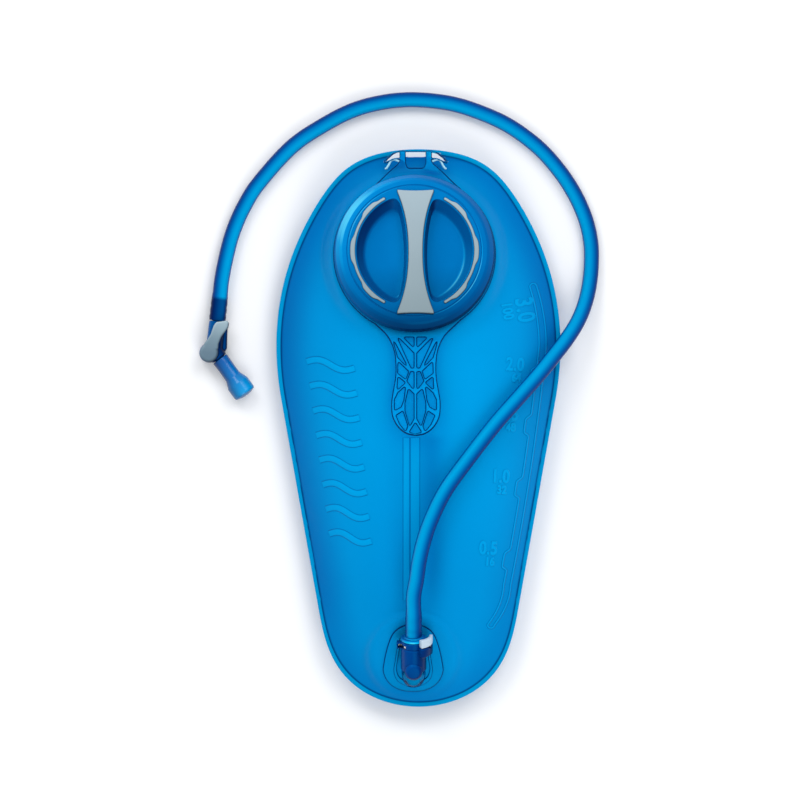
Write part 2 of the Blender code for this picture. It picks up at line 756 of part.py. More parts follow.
def carry_yoke():
    port = frames["port"]
    ring = [
        (YOKE_RING_R - 1 * MM, YOKE_TOP),
        (YOKE_RING_R, YOKE_TOP - 1 * MM),
        (YOKE_RING_R, YOKE_FOOT),
        (YOKE_RING_BORE_R, YOKE_FOOT),
        (YOKE_RING_BORE_R, YOKE_TOP),
    ]
    yoke = turned("carry_yoke", ring, ROUND, port, material("carry_yoke", BLUE_CLEAR))
    bend = frames["handle"]
    handle = plate("handle_plate", handle_outline(), YOKE_FOOT, YOKE_TOP - 0.2 * MM, port)
    crease(handle, HANDLE_BEND_Y, HANDLE_BEND)
    tab = plate("tab_plate", tab_outline(), YOKE_FOOT + 0.2 * MM, TAB_TOP_Z, port)
    for piece in (handle, tab):
        boolean(yoke, piece, "UNION")
    boolean(yoke, plate("tab_slot", tab_slot_outline(), 0, YOKE_TOP + MM, port))
    floor = YOKE_TOP - LATTICE_DEPTH
    for i, pocket in enumerate(lattice_pockets()):
        for side in (1, -1):
            outline = [(HANDLE_X + side * x * MM, y * MM - HANDLE_BEND_Y) for x, y in pocket]
            boolean(yoke, plate(f"lattice_{i + 1}_{side + 2}", outline, floor, YOKE_TOP + MM, bend))
    bore_r = YOKE_RING_BORE_R + GAP
    boolean(yoke, rod("yoke_bore", (0, 0, 0), (0, 0, YOKE_TOP + MM), bore_r, ROUND, port))


# Exit port and quick link


def exit_flange_outline():
    """The pear-shaped weld flange of the exit port."""
    points = [
        (0, 27.5), (9, 25.3), (15.5, 19.5), (19.5, 9), (22.2, -4), (22.6, -12), (18.5, -20.5), (10.5, -26),
        (0, -27.7),
    ]
    right = [(x * MM, y * MM) for x, y in points]
    left = [(-x, y) for x, y in reversed(right[1:-1])]
    return [(p.x, p.y) for p in smooth_through(right + left, 3, closed=True)]


def exit_lip_outline(inset):
    """The raised oval lip round the quick link."""
    points = [(0, 20.2), (8, 18.5), (11.5, 12), (13.8, -2), (14.6, -11), (11, -19), (0, -23.5)]
    right = [(x * MM, y * MM) for x, y in points]
    left = [(-x, y) for x, y in reversed(right[1:-1])]
    outline = smooth_through(right + left, 2, closed=True)
    shrunk = 1 - inset / (14.6 * MM)
    return [(p.x * shrunk, p.y * shrunk) for p in outline]


def exit_port_base():
    exit_frame = frames["exit"]
    connector = frames["connector"]
    top = 2.3 * MM
    look = material("exit_port_base", BLUE_CLEAR)
    base = plate("exit_port_base", exit_flange_outline(), GAP, top, exit_frame, look)
    well = (CONNECTOR_X, EXIT_WELL_Y)
    cup_at = (CONNECTOR_X, EXIT_WELL_Y + 1 * MM)
    cup_r = 9.3 * MM
    lip = plate("exit_lip", exit_lip_outline(0), top - 0.5 * MM, 3.4 * MM, exit_frame)
    boolean(base, lip, "UNION")
    hollow = plate("exit_lip_hollow", exit_lip_outline(1.3 * MM), top, 5 * MM, exit_frame)
    boolean(base, hollow)
    boolean(base, rod("exit_cup", (*cup_at, 1 * MM), (*cup_at, 22 * MM), cup_r, 32, exit_frame), "UNION")
    foot = rod("exit_foot", (*well, -3 * MM), (*well, 1 * MM), EXIT_HOLE_R - GAP, 24, exit_frame)
    boolean(base, foot, "UNION")
    boolean(base, rod("exit_well", (*well, -5 * MM), (*well, 16.5 * MM), 5 * MM, 20, exit_frame))
    bore = rod("spigot_bore", (0, 0, SPIGOT_END - GAP), (0, 0, 4 * MM), SPIGOT_R + GAP, 32, connector)
    boolean(base, bore)
    start = (0, 0, SPIGOT_START - GAP)
    boolean(base, rod("socket_clearance", start, (0, 0, 44 * MM), SOCKET_R + 0.4 * MM, 32, connector))


def button_sector(inner):
    """A ring sector round the connector's axis, its angles up from +X towards the upper side."""
    steps = 8
    outer = arc_points(BUTTON_OUTER_R, -BUTTON_FROM, -BUTTON_TO, steps)
    return outer + arc_points(inner, -BUTTON_TO, -BUTTON_FROM, steps)


def quick_link_socket():
    axis = frames["connector"]
    groove = SPIGOT_SEAL
    profile = [
        (SOCKET_R - 0.8 * MM, SOCKET_FRONT),
        (SOCKET_R, SOCKET_FRONT - 0.8 * MM),
        (SOCKET_R, SOCKET_GROOVE + 0.6 * MM),
        (SOCKET_R - 0.5 * MM, SOCKET_GROOVE),
        (SOCKET_R - 0.5 * MM, SPIGOT_START),
        (SPIGOT_R, SPIGOT_START),
        (SPIGOT_R, groove + 0.8 * MM),
        (SPIGOT_R - 1 * MM, groove + 0.8 * MM),
        (SPIGOT_R - 1 * MM, groove - 0.8 * MM),
        (SPIGOT_R, groove - 0.8 * MM),
        (SPIGOT_R, SPIGOT_END),
        (CHAMBER_R, SPIGOT_END),
        (CHAMBER_R, SEAT_BACK),
        (SEAT_R, SEAT_BACK),
        (SEAT_R, SEAT_FRONT),
        (PLUG_BORE_R, SEAT_FRONT),
        (PLUG_BORE_R, SOCKET_FRONT),
    ]
    socket = turned("quick_link_socket", profile, 24, axis, material("quick_link_socket", BLUE_DEEP))
    sector = button_sector(SOCKET_R - 1.2 * MM)
    housing = plate("button_housing", sector, LATCH_MIN - 4.9 * MM, LATCH_MIN - 0.1 * MM, axis)
    boolean(socket, housing, "UNION")
    low = (-12.8 * MM, -3 * MM, LATCH_MIN - 1.2 * MM)
    high = (-7.2 * MM, 3 * MM, LATCH_MAX + 1.2 * MM)
    boolean(socket, box("spring_housing", low, high, axis), "UNION")
    slot_half = LATCH_HALF + GAP
    slot_from = (-9.1 * MM, -slot_half, LATCH_MIN)
    boolean(socket, box("latch_slot", slot_from, (18 * MM, slot_half, LATCH_MAX), axis))
    low = (-12 * MM, -5 * MM, LATCH_MIN - 0.6 * MM)
    high = (-7.3 * MM, 1.8 * MM, LATCH_MAX + 0.6 * MM)
    boolean(socket, box("spring_pocket", low, high, axis))
    bore_r = PLUG_BORE_R + 0.05 * MM
    boolean(socket, rod("plug_bore", (0, 0, SEAT_FRONT), (0, 0, SOCKET_FRONT + MM), bore_r, 24, axis))


def spigot_o_ring():
    ring("spigot_o_ring", SPIGOT_R - 0.35 * MM, 0.33 * MM, SPIGOT_SEAL, frames["connector"])


def ring(name, major, minor, height, parent, colour=(0.05, 0.05, 0.05)):
    """An O-ring about the local Z axis."""
    sides = 5
    angles = [-2 * pi * i / sides for i in range(sides)]
    profile = [(major + minor * cos(a), height + minor * sin(a)) for a in angles]
    turned(name, profile, 16, parent, material(name, colour, 0.6))


def check_valve_poppet():
    axis = frames["poppet"]
    pin_r = 1.5 * MM
    disc_r = 4.6 * MM
    profile = [
        (0, PLUG_NOSE - GAP),
        (pin_r, PLUG_NOSE - GAP),
        (pin_r, -3.4 * MM),
        (disc_r, -3.4 * MM),
        (disc_r, -4.6 * MM),
        (pin_r, -4.6 * MM),
        (pin_r, -7.5 * MM),
        (0, -7.5 * MM),
    ]
    turned("check_valve_poppet", profile, 20, axis, material("check_valve_poppet", BLUE_DEEP), closed=False)
    seal = [(4.5 * MM, -2.3 * MM), (4.5 * MM, -3.1 * MM), (1.8 * MM, -3.1 * MM), (1.8 * MM, -2.3 * MM)]
    turned("poppet_seal", seal, 20, axis, material("poppet_seal", (0.1, 0.1, 0.1), 0.6))


def coil_spring(name, parent, start, end, coil_r, wire_r, turns, along):
    """A round-wire spring. along maps (x, y, station) into the parent's frame."""
    per_turn = 8
    count = turns * per_turn
    low = start + wire_r
    high = end - wire_r
    curve = bpy.data.curves.new(name, "CURVE")
    curve.dimensions = "3D"
    curve.bevel_depth = wire_r
    curve.bevel_resolution = 1
    curve.use_fill_caps = True
    spline = curve.splines.new("POLY")
    spline.points.add(count)
    for i, point in enumerate(spline.points):
        turn = 2 * pi * i / per_turn
        place = along(coil_r * cos(turn), coil_r * sin(turn), low + (high - low) * i / count)
        point.co = (*place, 1)
    return add_object(name, curve, parent, metal(name))


def springs():
    def on_axis(x, y, station):
        return x, y, station

    def across(x, y, station):
        return station, x, y + (LATCH_MIN + LATCH_MAX) / 2

    axis = frames["connector"]
    coil_spring("poppet_spring", axis, -14.7 * MM, -4.9 * MM, 3 * MM, 0.4 * MM, 5, on_axis)
    coil_spring("button_spring", axis, -11.7 * MM, -7.5 * MM, 1.15 * MM, 0.25 * MM, 4, across)


def latch_plate():
    """The sliding plate with the oval hole that the plug passes through."""
    left = -7.2 * MM
    right = 11.6 * MM
    half = LATCH_HALF
    outline = [(left, -5.4 * MM), (left, 5.4 * MM), (-5.2 * MM, half), (right - 3 * MM, half), (right, 3 * MM)]
    outline += [(right, -3 * MM), (right - 3 * MM, -half), (-5.2 * MM, -half)]
    low = LATCH_MIN + GAP
    high = LATCH_MAX - GAP
    axis = frames["connector"]
    latch = plate("latch_plate", outline, low, high, axis, metal("latch_plate"))
    hole = [(0.8 * MM + 6.9 * MM * cos(a), 6.2 * MM * sin(a)) for a in [2 * pi * i / 32 for i in range(32)]]
    boolean(latch, plate("latch_hole", hole, low - MM, high + MM, axis))


def release_button():
    axis = frames["connector"]
    outline = button_sector(BUTTON_INNER_R)
    look = material("release_button", (0.75, 0.78, 0.82))
    button = plate("release_button", outline, BUTTON_BACK, BUTTON_FRONT, axis, look)
    high = (14.1 * MM, 3 * MM, BUTTON_BACK + 1 * MM)
    boolean(button, box("button_arm", (11.9 * MM, -3 * MM, LATCH_MIN + GAP), high, axis), "UNION")


def hose_plug():
    collar_r = 9.8 * MM
    collar_front = COLLAR_BACK + 2 * MM
    neck_r = 4.9 * MM
    profile = barbed_stem(STEM_START, STEM_END) + [
        (BARB_ROOT_R, STEM_START + 0.9 * MM),
        (7 * MM, STEM_START + 0.7 * MM),
        (7.4 * MM, collar_front),
        (collar_r, collar_front),
        (collar_r, COLLAR_BACK),
        (PLUG_R, COLLAR_BACK),
        (PLUG_R, LATCH_MAX + 0.4 * MM),
        (neck_r, LATCH_MAX + 0.4 * MM),
        (neck_r, LATCH_MIN - 0.4 * MM),
        (PLUG_R, LATCH_MIN - 0.4 * MM),
        (PLUG_R, 7.9 * MM),
        (4.6 * MM, 7.9 * MM),
        (4.6 * MM, 5.7 * MM),
        (PLUG_R, 5.7 * MM),
        (PLUG_R, 4.2 * MM),
        (5 * MM, PLUG_NOSE),
        (WATERWAY_R, PLUG_NOSE),
        (WATERWAY_R, STEM_END),
    ]
    turned("hose_plug", profile, 16, frames["plug"], material("hose_plug", BLUE_CLEAR))
    ring("plug_o_ring", 5.42 * MM, 0.5 * MM, 6.8 * MM, frames["plug"])


# Drink tube and mouthpiece


def tube_route():
    """The drink tube's own points, from the plug's stem to the shut-off valve's stem."""
    start = frames["connector"].matrix_world @ Vector((0, 0, STEM_END + GAP))
    away = (frames["connector"].matrix_world.to_3x3() @ Vector((0, 0, 1))).normalized()
    end = VALVE_AT + INLET_OFFSET + INLET_DIRECTION * (INLET_TIP + GAP)
    middle = [
        (-1.6, -113, 67.6), (0.4, -99, 68.9), (4, -83.5, 68.5), (9.8, -67, 67.2), (19.9, -46.7, 65.2),
        (35.2, -25.3, 62.6), (56.7, 2.3, 57.2), (75, 23, 49.2), (89.7, 39.5, 40.6), (101.5, 54, 33),
        (112, 67.5, 26), (120.4, 81, 18.6), (126.2, 95.5, 11.8), (129.6, 111, 7.4), (130.8, 126.3, 5.9),
        (130.2, 141, 5.9), (126.3, 158, 5.9), (118.4, 176.1, 5.9), (106.7, 194.2, 5.9), (90.5, 212.2, 5.9),
        (69, 228.1, 5.9), (46.4, 238.6, 5.9), (23.8, 245.4, 5.9), (-2.6, 248.2, 5.9), (-26, 246.4, 5.9),
        (-49.4, 240.2, 5.9), (-72.4, 228.5, 5.9), (-96.1, 212.2, 5.9), (-120.6, 185.1, 5.9),
        (-132, 167, 5.9), (-139.9, 148.9, 6.2), (-144.6, 132, 7.5),
    ]
    points = [start, start + away * 14 * MM] + [Vector(p) * MM for p in middle]
    return points + [end + INLET_DIRECTION * 14 * MM, end]


def delivery_tube():
    curve = bpy.data.curves.new("delivery_tube", "CURVE")
    curve.dimensions = "3D"
    curve.bevel_depth = TUBE_R
    curve.bevel_resolution = 2
    curve.use_fill_caps = True
    route = resample(smooth_through(tube_route(), 12), 62)
    spline = curve.splines.new("POLY")
    spline.points.add(len(route) - 1)
    for point, place in zip(spline.points, route):
        point.co = (*place, 1)
    add_object("delivery_tube", curve, None, material("delivery_tube", BLUE_CLEAR))


def barbed_stem(start, tip):
    """The outer profile of a hose barb with three ridges, from its tip down to its root."""
    profile = [(3.4 * MM, tip)]
    for i in (2, 1, 0):
        foot = start + 1.4 * MM + i * BARB_PITCH
        profile += [(BARB_ROOT_R, foot + BARB_PITCH * 0.7), (BARB_R, foot), (BARB_ROOT_R, foot)]
    return profile


def valve_body():
    hub = frames["valve"]
    inlet = frames["inlet"]
    outlet = frames["outlet"]
    low = (0, 0, -8.4 * MM)
    look = material("valve_body", BLUE_DEEP)
    body = rod("valve_body", low, (0, 0, VALVE_HUB_TOP), VALVE_HUB_R, 28, hub, look)
    arm = [(0, INLET_TIP)] + barbed_stem(INLET_SHOULDER, INLET_TIP)
    arm += [(BARB_ROOT_R, INLET_SHOULDER), (INLET_R, INLET_SHOULDER), (INLET_R, 0), (0, 0)]
    boolean(body, turned("inlet_arm", arm, 20, inlet, closed=False), "UNION")
    arm = [(0, OUTLET_TIP), (4 * MM, OUTLET_TIP), (4 * MM, OUTLET_SHOULDER)]
    arm += [(OUTLET_R, OUTLET_SHOULDER), (OUTLET_R, 0), (0, 0)]
    boolean(body, turned("outlet_arm", arm, 20, outlet, closed=False), "UNION")
    boolean(body, rod("drum_pocket", (0, 0, -6.2 * MM), (0, 0, VALVE_HUB_TOP + MM), DRUM_POCKET_R, 24, hub))
    boolean(body, rod("inlet_bore", (0, 0, 0), (0, 0, INLET_TIP + MM), WATERWAY_R, 12, inlet))
    boolean(body, rod("outlet_bore", (0, 0, 0), (0, 0, OUTLET_TIP + MM), WATERWAY_R, 12, outlet))


def shutoff_drum():
    hub = frames["lever"]
    groove = 0.7 * MM
    neck_r = 4.05 * MM
    upper = 5.2 * MM
    lower = -4.6 * MM
    profile = [
        (0, VALVE_HUB_TOP),
        (DRUM_R, VALVE_HUB_TOP),
        (DRUM_R, upper + groove),
        (neck_r, upper + groove),
        (neck_r, upper - groove),
        (DRUM_R, upper - groove),
        (DRUM_R, lower + groove),
        (neck_r, lower + groove),
        (neck_r, lower - groove),
        (DRUM_R, lower - groove),
        (DRUM_R, -5.9 * MM),
        (0, -5.9 * MM),
    ]
    drum = turned("shutoff_drum", profile, 20, hub, material("shutoff_drum", BLUE_DEEP), closed=False)
    for name, towards in (("drum_inlet", DRUM_INLET), ("drum_outlet", DRUM_OUTLET)):
        boolean(drum, rod(name, -towards * 0.5 * MM, towards * 8 * MM, 2 * MM, 16, hub))
    ring("drum_o_ring_upper", 4.75 * MM, 0.4 * MM, upper, hub)
    ring("drum_o_ring_lower", 4.75 * MM, 0.4 * MM, lower, hub)


def lever_outline(corners):
    """Corners given along and to the right of the lever, in millimetres from its axis."""
    side = Vector((LEVER_DIRECTION.y, -LEVER_DIRECTION.x, 0))
    points = [LEVER_DIRECTION * a * MM + side * b * MM for a, b in corners]
    return [(p.x, p.y) for p in points]


def shutoff_lever():
    """The grey lever: a round hub, an arm beside the inlet and a thumb paddle folded down its right side."""
    hub = frames["lever"]
    look = material("shutoff_lever", GREY, 0.5)
    lever = rod("shutoff_lever", (0, 0, LEVER_BASE), (0, 0, LEVER_TOP), LEVER_DISC_R, 32, hub, look)
    corners = [(0, -4), (12, -3), (20, -1), (26, -1), (26.6, 2), (26, 10.8), (20, 10.8), (12, 4.5), (0, 5)]
    arm = lever_outline(corners)
    boolean(lever, plate("lever_arm", arm, LEVER_BASE, LEVER_TOP, hub), "UNION")
    paddle = lever_outline([(20, 8.6), (25.5, 8.6), (25.5, 10.8), (20, 10.8)])
    boolean(lever, plate("lever_paddle", paddle, PADDLE_FOOT, LEVER_TOP - 0.5 * MM, hub), "UNION")


def bite_valve():
    start = OUTLET_SHOULDER + 0.4 * MM
    tip = 42.3 * MM
    neck_end = 24.7 * MM
    mouth_from = 31.8 * MM
    mouth_r = 8.75 * MM
    neck_r = 6.1 * MM
    bore_r = 4.3 * MM
    inside_r = 5.8 * MM
    profile = [
        (0, tip),
        (7.8 * MM, tip),
        (mouth_r, tip - 2 * MM),
        (mouth_r, mouth_from),
        (neck_r, neck_end),
        (neck_r, start),
        (bore_r, start),
        (bore_r, OUTLET_TIP + 0.4 * MM),
        (inside_r, tip - 6.3 * MM),
        (inside_r, tip - 3 * MM),
        (0, tip - 2 * MM),
    ]
    outlet = frames["outlet"]
    mouth = turned("bite_valve", profile, 20, outlet, material("bite_valve", BLUE_CLEAR), closed=False)
    half = 4.5 * MM
    boolean(mouth, box("bite_slit", (-half, -0.4 * MM, tip - 5 * MM), (half, 0.4 * MM, tip + MM), outlet))


def main():
    clear_scene()
    place_frames()
    front_film()
    back_film()
    baffle_strip()
    fill_port_neck()
    lid_shell()
    lid_grips()
    lid_gasket()
    carry_yoke()
    exit_port_base()
    quick_link_socket()
    spigot_o_ring()
    check_valve_poppet()
    springs()
    latch_plate()
    release_button()
    hose_plug()
    delivery_tube()
    valve_body()
    shutoff_drum()
    shutoff_lever()
    bite_valve()


main()
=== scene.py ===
"""The looks of a hydration bladder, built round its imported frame. Metres, +Z up."""
import json
from math import cos, exp, hypot, pi, radians, sin, sqrt, tan

import bmesh
import bpy
from mathutils import Matrix, Vector, noise


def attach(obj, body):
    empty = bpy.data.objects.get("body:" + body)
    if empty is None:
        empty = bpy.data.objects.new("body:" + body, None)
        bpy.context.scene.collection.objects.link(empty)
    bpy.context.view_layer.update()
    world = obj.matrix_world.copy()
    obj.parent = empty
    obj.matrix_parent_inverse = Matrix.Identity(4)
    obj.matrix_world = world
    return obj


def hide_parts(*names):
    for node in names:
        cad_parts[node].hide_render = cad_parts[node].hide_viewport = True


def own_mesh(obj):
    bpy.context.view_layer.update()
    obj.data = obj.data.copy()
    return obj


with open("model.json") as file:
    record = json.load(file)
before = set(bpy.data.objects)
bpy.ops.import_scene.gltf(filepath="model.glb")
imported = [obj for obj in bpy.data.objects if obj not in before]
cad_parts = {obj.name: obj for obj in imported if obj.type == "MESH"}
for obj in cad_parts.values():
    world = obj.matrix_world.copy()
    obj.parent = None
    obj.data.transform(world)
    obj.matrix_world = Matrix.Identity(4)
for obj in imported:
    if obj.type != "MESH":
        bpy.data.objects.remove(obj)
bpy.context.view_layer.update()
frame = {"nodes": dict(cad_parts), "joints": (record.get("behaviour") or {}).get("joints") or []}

MM = 0.001
JOINTS = {joint["name"]: joint for joint in frame["joints"]}


def place(at, z, x=(1, 0, 0)):
    """The matrix of a local frame from its origin, its z axis and a rough x axis."""
    z = Vector(z).normalized()
    x = Vector(x)
    x = (x - z * x.dot(z)).normalized()
    y = z.cross(x)
    turn = Matrix((x, y, z)).transposed().to_4x4()
    return Matrix.Translation(Vector(at)) @ turn


# Places, as part.py has them
PORT_AT = Vector(JOINTS["lid_turn"]["pos_m"])
PORT_TILT = radians(11.5)
PORT = place(PORT_AT, JOINTS["lid_turn"]["axis"])
EXIT_AT = Vector((-4 * MM, -172 * MM, 34 * MM))
EXIT_TILT = radians(20)
EXIT = place(EXIT_AT, (0, -sin(EXIT_TILT), cos(EXIT_TILT)))
LINK = place(EXIT @ Vector((0.3 * MM, 0, 12.8 * MM)), JOINTS["hose_pull"]["axis"])
VALVE_AT = Vector(JOINTS["lever_turn"]["pos_m"])
LEVER_DIRECTION = Vector((0.179, 0.984, 0)).normalized()
INLET_AT = VALVE_AT + Vector((3.4 * MM, 0, 0))
INLET_DIRECTION = Vector((0.11, 0.994, 0)).normalized()
HUB = place(VALVE_AT, JOINTS["lever_turn"]["axis"])
INLET = place(INLET_AT, INLET_DIRECTION, (0, 0, 1))
OUTLET = place(JOINTS["bite_swivel"]["pos_m"], JOINTS["bite_swivel"]["axis"], (0, 0, 1))

# Camera
VIEW_CENTRE = Vector((-13.9 * MM, 21.2 * MM, 20 * MM))
VIEW_WIDTH = 603 * MM
VIEW_DISTANCE = 5
SENSOR = 36

# Bag
BAG_HALF_LENGTH = 210 * MM
BAG_HALF_WIDTH = 107.1 * MM
BAG_TOP_Y = 204.5 * MM
TOP_CORNER_Y = 200 * MM
WIDEST_Y = 62.2 * MM
TAPER_Y = 22.2 * MM
TAPER_WIDTH = 103.5 * MM
TAPER_SLOPE = 0.178
FOOT_Y = -130 * MM
WELD_WIDTH = 3.5 * MM
FILM = 1.0 * MM
SEAM_Z = 20 * MM
SEAM_RISE = 6 * MM
CREST_RISE = 38 * MM
CREST_Y = 60 * MM
BACK_FLAT_SHARE = 0.5
BAFFLE_X = -5.4 * MM
BAFFLE_LOW_Y = -126 * MM
BAFFLE_HIGH_Y = -8 * MM
BAFFLE_DIP = 8 * MM
BAFFLE_DIP_WIDTH = 16 * MM
PORT_DISC_R = 60 * MM
PORT_BLEND_R = 71.5 * MM
EXIT_DISC_R = 31 * MM
EXIT_BLEND_R = 38 * MM
PORT_HOLE_R = 47 * MM
EXIT_HOLE_AT = Vector((-3.7 * MM, -183 * MM, 30 * MM))
EXIT_HOLE_R = 6.5 * MM

# Drink tube
TUBE_R = 5.75 * MM
TUBE_BORE_R = 3.2 * MM
SLEEVE = 18 * MM  # how far the tube is pushed over each barbed stem
STEM_TIP = 40.7 * MM
INLET_TIP = 42.6 * MM


# Camera and cord first


def new_object(name, data):
    obj = bpy.data.objects.new(name, data)
    bpy.context.scene.collection.objects.link(obj)
    return obj


def add_camera():
    data = bpy.data.cameras.new("camera")
    data.sensor_width = SENSOR
    data.lens = SENSOR * VIEW_DISTANCE / VIEW_WIDTH
    data.clip_end = 20
    camera = new_object("camera", data)
    camera.location = VIEW_CENTRE + Vector((0, 0, VIEW_DISTANCE))
    bpy.context.scene.camera = camera


def smooth_through(points, per_span, closed=False):
    """Points on a Catmull-Rom curve through the given ones."""
    points = [Vector(p) for p in points]
    count = len(points)

    def point(i):
        return points[i % count] if closed else points[min(max(i, 0), count - 1)]

    found = []
    for i in range(count if closed else count - 1):
        a, b, c, d = (point(i + k) for k in (-1, 0, 1, 2))
        for step in range(per_span):
            t = step / per_span
            square = (2 * a - 5 * b + 4 * c - d) * t**2
            cube = (3 * b - a - 3 * c + d) * t**3
            found.append(0.5 * (2 * b + (c - a) * t + square + cube))
    if not closed:
        found.append(points[-1])
    return found


def resample(points, count, closed=False):
    """Points at equal distances along a run of points."""
    points = [Vector(p) for p in points]
    if closed:
        points.append(points[0])
    lengths = [0]
    for a, b in zip(points, points[1:]):
        lengths.append(lengths[-1] + (b - a).length)
    found = []
    at = 0
    for i in range(count + (0 if closed else 1)):
        wanted = lengths[-1] * i / count
        while at < len(points) - 2 and lengths[at + 1] < wanted:
            at += 1
        share = (wanted - lengths[at]) / (lengths[at + 1] - lengths[at])
        found.append(points[at].lerp(points[at + 1], min(max(share, 0), 1)))
    return found


def tube_route():
    """The drink tube's centreline, with the stretches that cover the two barbed stems."""
    start = LINK @ Vector((0, 0, STEM_TIP))
    away = LINK.to_3x3() @ Vector((0, 0, 1))
    end = INLET_AT + INLET_DIRECTION * INLET_TIP
    straight = 14 * MM
    middle = [
        (-1.6, -113, 67.6), (0.4, -99, 68.9), (4, -83.5, 68.5), (9.8, -67, 67.2), (19.9, -46.7, 65.2),
        (35.2, -25.3, 62.6), (56.7, 2.3, 57.2), (75, 23, 49.2), (89.7, 39.5, 40.6), (101.5, 54, 33),
        (112, 67.5, 26), (120.4, 81, 18.6), (126.2, 95.5, 11.8), (129.6, 111, 7.4), (130.8, 126.3, 5.9),
        (130.2, 141, 5.9), (126.3, 158, 5.9), (118.4, 176.1, 5.9), (106.7, 194.2, 5.9), (90.5, 212.2, 5.9),
        (69, 228.1, 5.9), (46.4, 238.6, 5.9), (23.8, 245.4, 5.9), (-2.6, 248.2, 5.9), (-26, 246.4, 5.9),
        (-49.4, 240.2, 5.9), (-72.4, 228.5, 5.9), (-96.1, 212.2, 5.9), (-120.6, 185.1, 5.9),
        (-132, 167, 5.9), (-139.9, 148.9, 6.2), (-144.6, 132, 7.5),
    ]
    points = [start - away * SLEEVE, start, start + away * straight] + [Vector(p) * MM for p in middle]
    points += [end + INLET_DIRECTION * straight, end, end - INLET_DIRECTION * SLEEVE]
    return resample(smooth_through(points, 16), 300)


# Mesh tools


def add_piece(name, mesh, look, body=None, stands_for=(), where=None):
    """A mesh as a visible piece on a body. A mesh made in a local frame is moved to the world by where."""
    if where is not None:
        mesh.transform(where)
    obj = new_object(name, mesh)
    mesh.materials.clear()
    mesh.materials.append(look)
    if body:
        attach(obj, body)
    if stands_for:
        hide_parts(*stands_for)
    return obj


def discard(obj):
    """Removes an object and its mesh or curve."""
    data = obj.data
    bpy.data.objects.remove(obj, do_unlink=True)
    store = bpy.data.meshes if isinstance(data, bpy.types.Mesh) else bpy.data.curves
    store.remove(data)


def baked(obj, name):
    """An object's mesh with its modifiers applied. The object itself is removed."""
    mesh = bpy.data.meshes.new_from_object(obj.evaluated_get(bpy.context.evaluated_depsgraph_get()))
    mesh.name = name
    discard(obj)
    return mesh


def gathered(meshes):
    """One bmesh of several meshes, which are removed."""
    bm = bmesh.new()
    for mesh in meshes:
        bm.from_mesh(mesh)
        bpy.data.meshes.remove(mesh)
    return bm


def emptied(bm, name):
    """A new mesh from a bmesh, which is freed."""
    mesh = bpy.data.meshes.new(name)
    bm.to_mesh(mesh)
    bm.free()
    return mesh


def to_mesh(bm, name, where=None, sharp=35):
    """A shaded mesh with its faces pointing out. sharp is the least angle of a hard edge, in degrees."""
    if where is not None:
        bmesh.ops.transform(bm, matrix=where, verts=bm.verts)
    bmesh.ops.recalc_face_normals(bm, faces=bm.faces)
    mesh = emptied(bm, name)
    mesh.shade_smooth()
    mesh.set_sharp_from_angle(angle=radians(sharp))
    return mesh


def tuples(points):
    return [(p[0], p[1]) for p in points]


def rounded(corners, closed=True, steps=5):
    """A run of (x, y, radius) corners in millimetres, with each corner rounded to its radius."""
    count = len(corners)
    found = []
    for i, (x, y, radius) in enumerate(corners):
        at = Vector((x, y))
        if radius == 0 or (not closed and i in (0, count - 1)):
            found.append(at * MM)
            continue
        before = Vector(corners[i - 1][:2]) - at
        after = Vector(corners[(i + 1) % count][:2]) - at
        half = before.angle(after) / 2
        reach = min(radius / tan(half), before.length * 0.48, after.length * 0.48)
        for step in range(steps + 1):
            t = step / steps
            a = at + before.normalized() * reach
            b = at + after.normalized() * reach
            found.append(((1 - t) ** 2 * a + 2 * t * (1 - t) * at + t**2 * b) * MM)
    return found


def lathe(profile, steps=96, closed=True):
    """A bmesh of (radius, height) points turned about the local z axis."""
    bm = bmesh.new()
    rings = []
    for step in range(steps):
        turn = 2 * pi * step / steps
        rings.append([bm.verts.new((p[0] * cos(turn), p[0] * sin(turn), p[1])) for p in profile])
    spans = len(profile) if closed else len(profile) - 1
    for i in range(steps):
        a, b = rings[i], rings[(i + 1) % steps]
        for k in range(spans):
            j = (k + 1) % len(profile)
            bm.faces.new((a[k], b[k], b[j], a[j]))
    bmesh.ops.remove_doubles(bm, verts=bm.verts, dist=0.000002)
    return bm


def loft(sections, caps=True):
    """A bmesh through closed sections with equal numbers of points."""
    bm = bmesh.new()
    rings = [[bm.verts.new(p) for p in section] for section in sections]
    for a, b in zip(rings, rings[1:]):
        for i in range(len(a)):
            j = (i + 1) % len(a)
            bm.faces.new((a[i], b[i], b[j], a[j]))
    if caps:
        bm.faces.new(rings[0])
        bm.faces.new(reversed(rings[-1]))
    return bm


def area_of(outline):
    return sum(a[0] * b[1] - b[0] * a[1] for a, b in zip(outline, outline[1:] + outline[:1])) / 2


def flat_mesh(name, outlines, low, high, edge=0.0, fine=2):
    """A bmesh of a plate between two heights in millimetres. All outlines but the first are holes."""
    low, high, edge = low * MM, high * MM, edge * MM
    curve = bpy.data.curves.new(name, "CURVE")
    curve.dimensions = "2D"
    curve.fill_mode = "BOTH"
    curve.extrude = (high - low) / 2 - edge
    curve.bevel_depth = edge
    curve.bevel_resolution = fine
    curve.offset = -edge
    for i, outline in enumerate(outlines):
        wanted = -1 if i == 0 else 1
        if area_of(outline) * wanted < 0:
            outline = outline[::-1]
        spline = curve.splines.new("POLY")
        spline.points.add(len(outline) - 1)
        for point, (x, y) in zip(spline.points, outline):
            point.co = (x, y, 0, 1)
        spline.use_cyclic_u = True
    bm = gathered([baked(new_object(name, curve), name)])
    bmesh.ops.remove_doubles(bm, verts=bm.verts, dist=0.000004)
    bmesh.ops.translate(bm, verts=bm.verts, vec=(0, 0, (high + low) / 2))
    return bm


